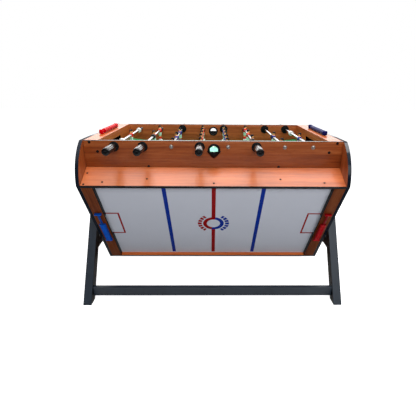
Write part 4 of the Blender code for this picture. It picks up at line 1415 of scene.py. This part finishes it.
def pool_face():
    """The pool face: rail frame with rounded pocket mouths, cloth bed with six cups, cushions and liners."""
    side, end = INSIDE - GAP, BOARD_END
    length, width = end - POOL_RAIL, side - POOL_RAIL
    places = [(x, y) for x in (-length, 0, length) for y in (-width, width)]
    rails = block("pool_rails", (-end, -side, BED_TOP + GAP), (end, side, RIM), settings().edge_round)
    cut(rails, [block("opening", (-length, -width, BED_TOP - 0.01), (length, width, RIM + 0.01))])
    cut(rails, [drill((x, y, RIM), (0, 0, 1), POCKET_RADIUS, 0.12, 56) for x, y in places])
    fitted(rails, "table", "wood_pool_rail", face="pool", replaces=["pool_rail_frame"], slot="wood")
    bed = block("pool_cloth", (-end, -side, BED_TOP - 0.009), (end, side, BED_TOP), 0.0005)
    cut(bed, [drill((x, y, BED_TOP), (0, 0, 1), POCKET_RADIUS + 0.0032, 0.06, 56) for x, y in places])
    fitted(bed, "table", "baize", face="pool", replaces=["pool_bed"], slot="bed_cloth")
    pool_cups(places)
    pool_liners(places, length, width)
    cushions(length, width)


def stand_bolts():
    """Bolt heads on the legs' outer faces, where the stretchers are drawn to them."""
    model = turned("bolt", BOLT_HEAD, (0, 0, 0), (0, 0, 1), 28)
    heads = []
    for sx in (-1, 1):
        turn = Matrix.Rotation(sx * math.pi / 2, 4, "Y")
        for sy in (-1, 1):
            for level in BOLT_LEVELS:
                y = sy * (PIVOT_HEIGHT - level) * math.tan(LEG_LEAN)
                heads.append(copied(model, "head", Matrix.Translation((sx * LEG_OUTSIDE, y, level)) @ turn))
    discard(model)
    fitted(joined("stand_bolts", heads), "stand", "screw_black")


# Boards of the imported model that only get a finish
CARRIED_BOARDS = {
    "lacquer_frame": (
        "leg_front_left", "leg_front_right", "leg_rear_left", "leg_rear_right",
        "crossbar_left", "crossbar_right",
    ),
    "lacquer": ("stretcher_front", "stretcher_rear"),
    "pitch": ("pitch",),
    "wood_end": ("football_end_left", "football_end_right"),
    "wood_hockey_low": ("hockey_wall_lower",),
    "wood_hockey_wall": ("hockey_wall_upper",),
    "field": ("hockey_field",),
    "wood_hockey_end": ("hockey_end_left", "hockey_end_right"),
    "wood_pool_wall": ("pool_wall_upper", "pool_wall_lower"),
}


def carry_over(name, look):
    """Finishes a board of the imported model: its triangles welded, its edges rounded and its material."""
    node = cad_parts[name]
    weld = node.modifiers.new("Weld", "WELD")
    weld.merge_threshold = MERGE
    flat = node.modifiers.new("Flat faces", "DECIMATE")
    flat.decimate_type = "DISSOLVE"
    flat.angle_limit = math.radians(1)
    rounded = node.modifiers.new("Edges", "BEVEL")
    rounded.width = settings().edge_round
    rounded.segments = 2
    rounded.limit_method = "ANGLE"
    rounded.angle_limit = math.radians(40)
    for slot in node.material_slots:
        slot.material = finish(look)


# Stage


def studio_floor():
    """A floor that keeps the table's shadow, is white further out, and is dimmer in what shines."""
    deselect()
    bpy.ops.mesh.primitive_plane_add(size=FLOOR_SIZE)
    floor = added("studio_floor")
    make = Finish("studio_floor")
    camera_ray, shiny_ray = make.background_rays()
    pale = make.mix(make.noise(0.8, 2.0, 0.5), srgb(252, 252, 252), srgb(255, 255, 255))
    x, y, _ = make.axes()
    far = make.distance(x, y).over(2.4, 2.4)
    glow = camera_ray * (0.80 + 0.20 * far)
    make.set(Base_Color=make.mix(shiny_ray, srgb(150, 150, 152), pale), Roughness=0.9, Emission_Strength=1.0)
    make.set(Emission_Color=make.node("ShaderNodeCombineColor", None, {0: glow, 1: glow, 2: glow}))
    floor.data.materials.append(make.material)


def soft_box(name, place, tilt, width, depth, watts):
    """A soft box that faces down before its tilt."""
    deselect()
    bpy.ops.object.light_add(type="AREA", location=place, rotation=(math.radians(tilt), 0, 0))
    light = bpy.context.object
    light.name = light.data.name = name
    light.data.shape = "RECTANGLE"
    light.data.size, light.data.size_y = width, depth
    light.data.energy = watts


def surroundings():
    """White to the camera, brighter behind and above the table in what shines, and a little even light."""
    world = bpy.context.scene.world = bpy.data.worlds.new("studio")
    make = Tree(world)
    make.nodes.clear()
    camera_ray, shiny_ray = make.background_rays()
    direction = make.node("ShaderNodeTexCoord", output="Generated")
    y, z = make.outputs("YZ", "ShaderNodeSeparateXYZ", None, {0: direction})
    behind = make.math("ADD", (y + z + 0.25) / 0.6, 0.0, clamp=True)
    bright = camera_ray | (shiny_ray * (0.04 + 0.96 * behind))
    strength = bright + (1 - shiny_ray) * settings().room_light
    back = make.node("ShaderNodeBackground", None, {"Color": (1.0, 1.0, 1.0), "Strength": strength})
    out = make.nodes.new("ShaderNodeOutputWorld")
    make.plug(out.inputs["Surface"], back)


def set_camera():
    """The photograph's camera: its place, its three turns and its lens."""
    look = settings()
    pitch, yaw, roll = look.camera_pitch, look.camera_yaw, look.camera_roll
    right = Vector((math.cos(yaw), math.sin(yaw), 0))
    ahead = Vector((-math.sin(yaw), math.cos(yaw), 0))
    forward = math.cos(pitch) * ahead - math.sin(pitch) * Vector((0, 0, 1))
    down = -math.sin(pitch) * ahead - math.cos(pitch) * Vector((0, 0, 1))
    across = math.cos(roll) * right - math.sin(roll) * down
    upwards = -(math.sin(roll) * right + math.cos(roll) * down)
    turn = Matrix((across, upwards, -forward)).transposed()
    deselect()
    bpy.ops.object.camera_add(location=look.camera_place, rotation=turn.to_euler())
    obj = bpy.context.object
    obj.name = "camera"
    obj.data.lens = look.lens
    obj.data.sensor_width = SENSOR_WIDTH
    obj.data.shift_x, obj.data.shift_y = LENS_SHIFT
    bpy.context.scene.camera = obj


def stage():
    """Pale floor, three soft boxes, white surroundings and the camera."""
    studio_floor()
    for label, (place, tilt, width, depth) in LAMPS.items():
        soft_box(label + "_soft_box", place, tilt, width, depth, getattr(settings(), label + "_light"))
    surroundings()
    set_camera()
    bpy.context.scene.view_settings.view_transform = "Standard"


# Operators


class Step:
    """What all the steps share: each can be undone and done again with other sizes."""

    bl_options = {"REGISTER", "UNDO"}


class MakeEndPanels(Step, bpy.types.Operator):
    """Laminated end panels with black edging and pivot pins."""

    bl_idname = "games_table.end_panels"
    bl_label = "End panels"

    def execute(self, context):
        for side, where in ENDS:
            end_panel(side, "end_panel_" + where)
        return {"FINISHED"}


class MakeFootballWalls(Step, bpy.types.Operator):
    """Drilled football walls with their rod bushings."""

    bl_idname = "games_table.football_walls"
    bl_label = "Football walls"

    def execute(self, context):
        for side, where in WALLS:
            football_wall(side, "football_wall_" + where)
        bushings()
        return {"FINISHED"}


class MakeBallCups(Step, bpy.types.Operator):
    """Ball cups through the football walls."""

    bl_idname = "games_table.ball_cups"
    bl_label = "Ball cups"

    def execute(self, context):
        for side, where in WALLS:
            ball_cup(side, "ball_cup_" + where)
        return {"FINISHED"}


class MakeRods(Step, bpy.types.Operator):
    """Telescopic rods with stops, bumpers and grips."""

    bl_idname = "games_table.rods"
    bl_label = "Rods and grips"

    def execute(self, context):
        for index in range(len(RODS)):
            football_rod(index)
        return {"FINISHED"}


class MakeMen(Step, bpy.types.Operator):
    """Painted men on the rods."""

    bl_idname = "games_table.men"
    bl_label = "Men"

    def execute(self, context):
        place_men()
        return {"FINISHED"}


class MakeCounters(Step, bpy.types.Operator):
    """Score counters with sliding beads."""

    bl_idname = "games_table.counters"
    bl_label = "Score counters"

    def execute(self, context):
        counter("football_score_left", "football", -1, 1, "counter_red", "counter_red")
        counter("football_score_right", "football", 1, -1, "counter_navy", "counter_navy")
        counter("hockey_score_left", "hockey", -1, -1, "counter_blue", "counter_blue")
        counter("hockey_score_right", "hockey", 1, -1, "counter_red_low", "counter_red")
        return {"FINISHED"}


class MakePool(Step, bpy.types.Operator):
    """Pool rails, cloth bed, cushions and pockets."""

    bl_idname = "games_table.pool"
    bl_label = "Pool face"

    def execute(self, context):
        pool_face()
        return {"FINISHED"}


class MakeFasteners(Step, bpy.types.Operator):
    """Lock knobs, wall screws and stand bolts."""

    bl_idname = "games_table.fasteners"
    bl_label = "Fasteners"

    def execute(self, context):
        for side, where in ENDS:
            lock_knob(side, where)
        models = {kind: model_screw(getattr(settings(), kind)) for kind in ("wall_screw", "ledge_screw")}
        for face, side, places, kind, name in SCREWED_WALLS:
            wall_screws(models[kind], face, side, places, name)
        discard(*models.values())
        stand_bolts()
        return {"FINISHED"}


class FinishBoards(Step, bpy.types.Operator):
    """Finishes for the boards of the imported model."""

    bl_idname = "games_table.boards"
    bl_label = "Carried-over boards"

    def execute(self, context):
        for look, names in CARRIED_BOARDS.items():
            for name in names:
                carry_over(name, look)
        return {"FINISHED"}


class SetStage(Step, bpy.types.Operator):
    """Floor, light and camera."""

    bl_idname = "games_table.stage"
    bl_label = "Studio"

    def execute(self, context):
        stage()
        return {"FINISHED"}


STEPS = (
    MakeEndPanels, MakeFootballWalls, MakeBallCups, MakeRods, MakeMen, MakeCounters, MakePool, MakeFasteners,
    FinishBoards, SetStage,
)


class TablePanel(bpy.types.Panel):
    """The steps that dress the table, and its sizes and colours."""

    bl_idname = "VIEW3D_PT_games_table"
    bl_label = "Games table"
    bl_space_type = "VIEW_3D"
    bl_region_type = "UI"
    bl_category = "Games table"

    def draw(self, context):
        for step in STEPS:
            self.layout.operator(step.bl_idname)
        for name in TableSettings.__annotations__:
            self.layout.prop(context.scene.games_table, name)


CLASSES = (TableSettings, *STEPS, TablePanel)


def register():
    for cls in CLASSES:
        bpy.utils.register_class(cls)
    bpy.types.Scene.games_table = bpy.props.PointerProperty(type=TableSettings)


def unregister():
    del bpy.types.Scene.games_table
    for cls in reversed(CLASSES):
        bpy.utils.unregister_class(cls)


def main():
    register()
    for step in STEPS:
        group, name = step.bl_idname.split(".")
        getattr(getattr(bpy.ops, group), name)()


if __name__ == "__main__":
    main()
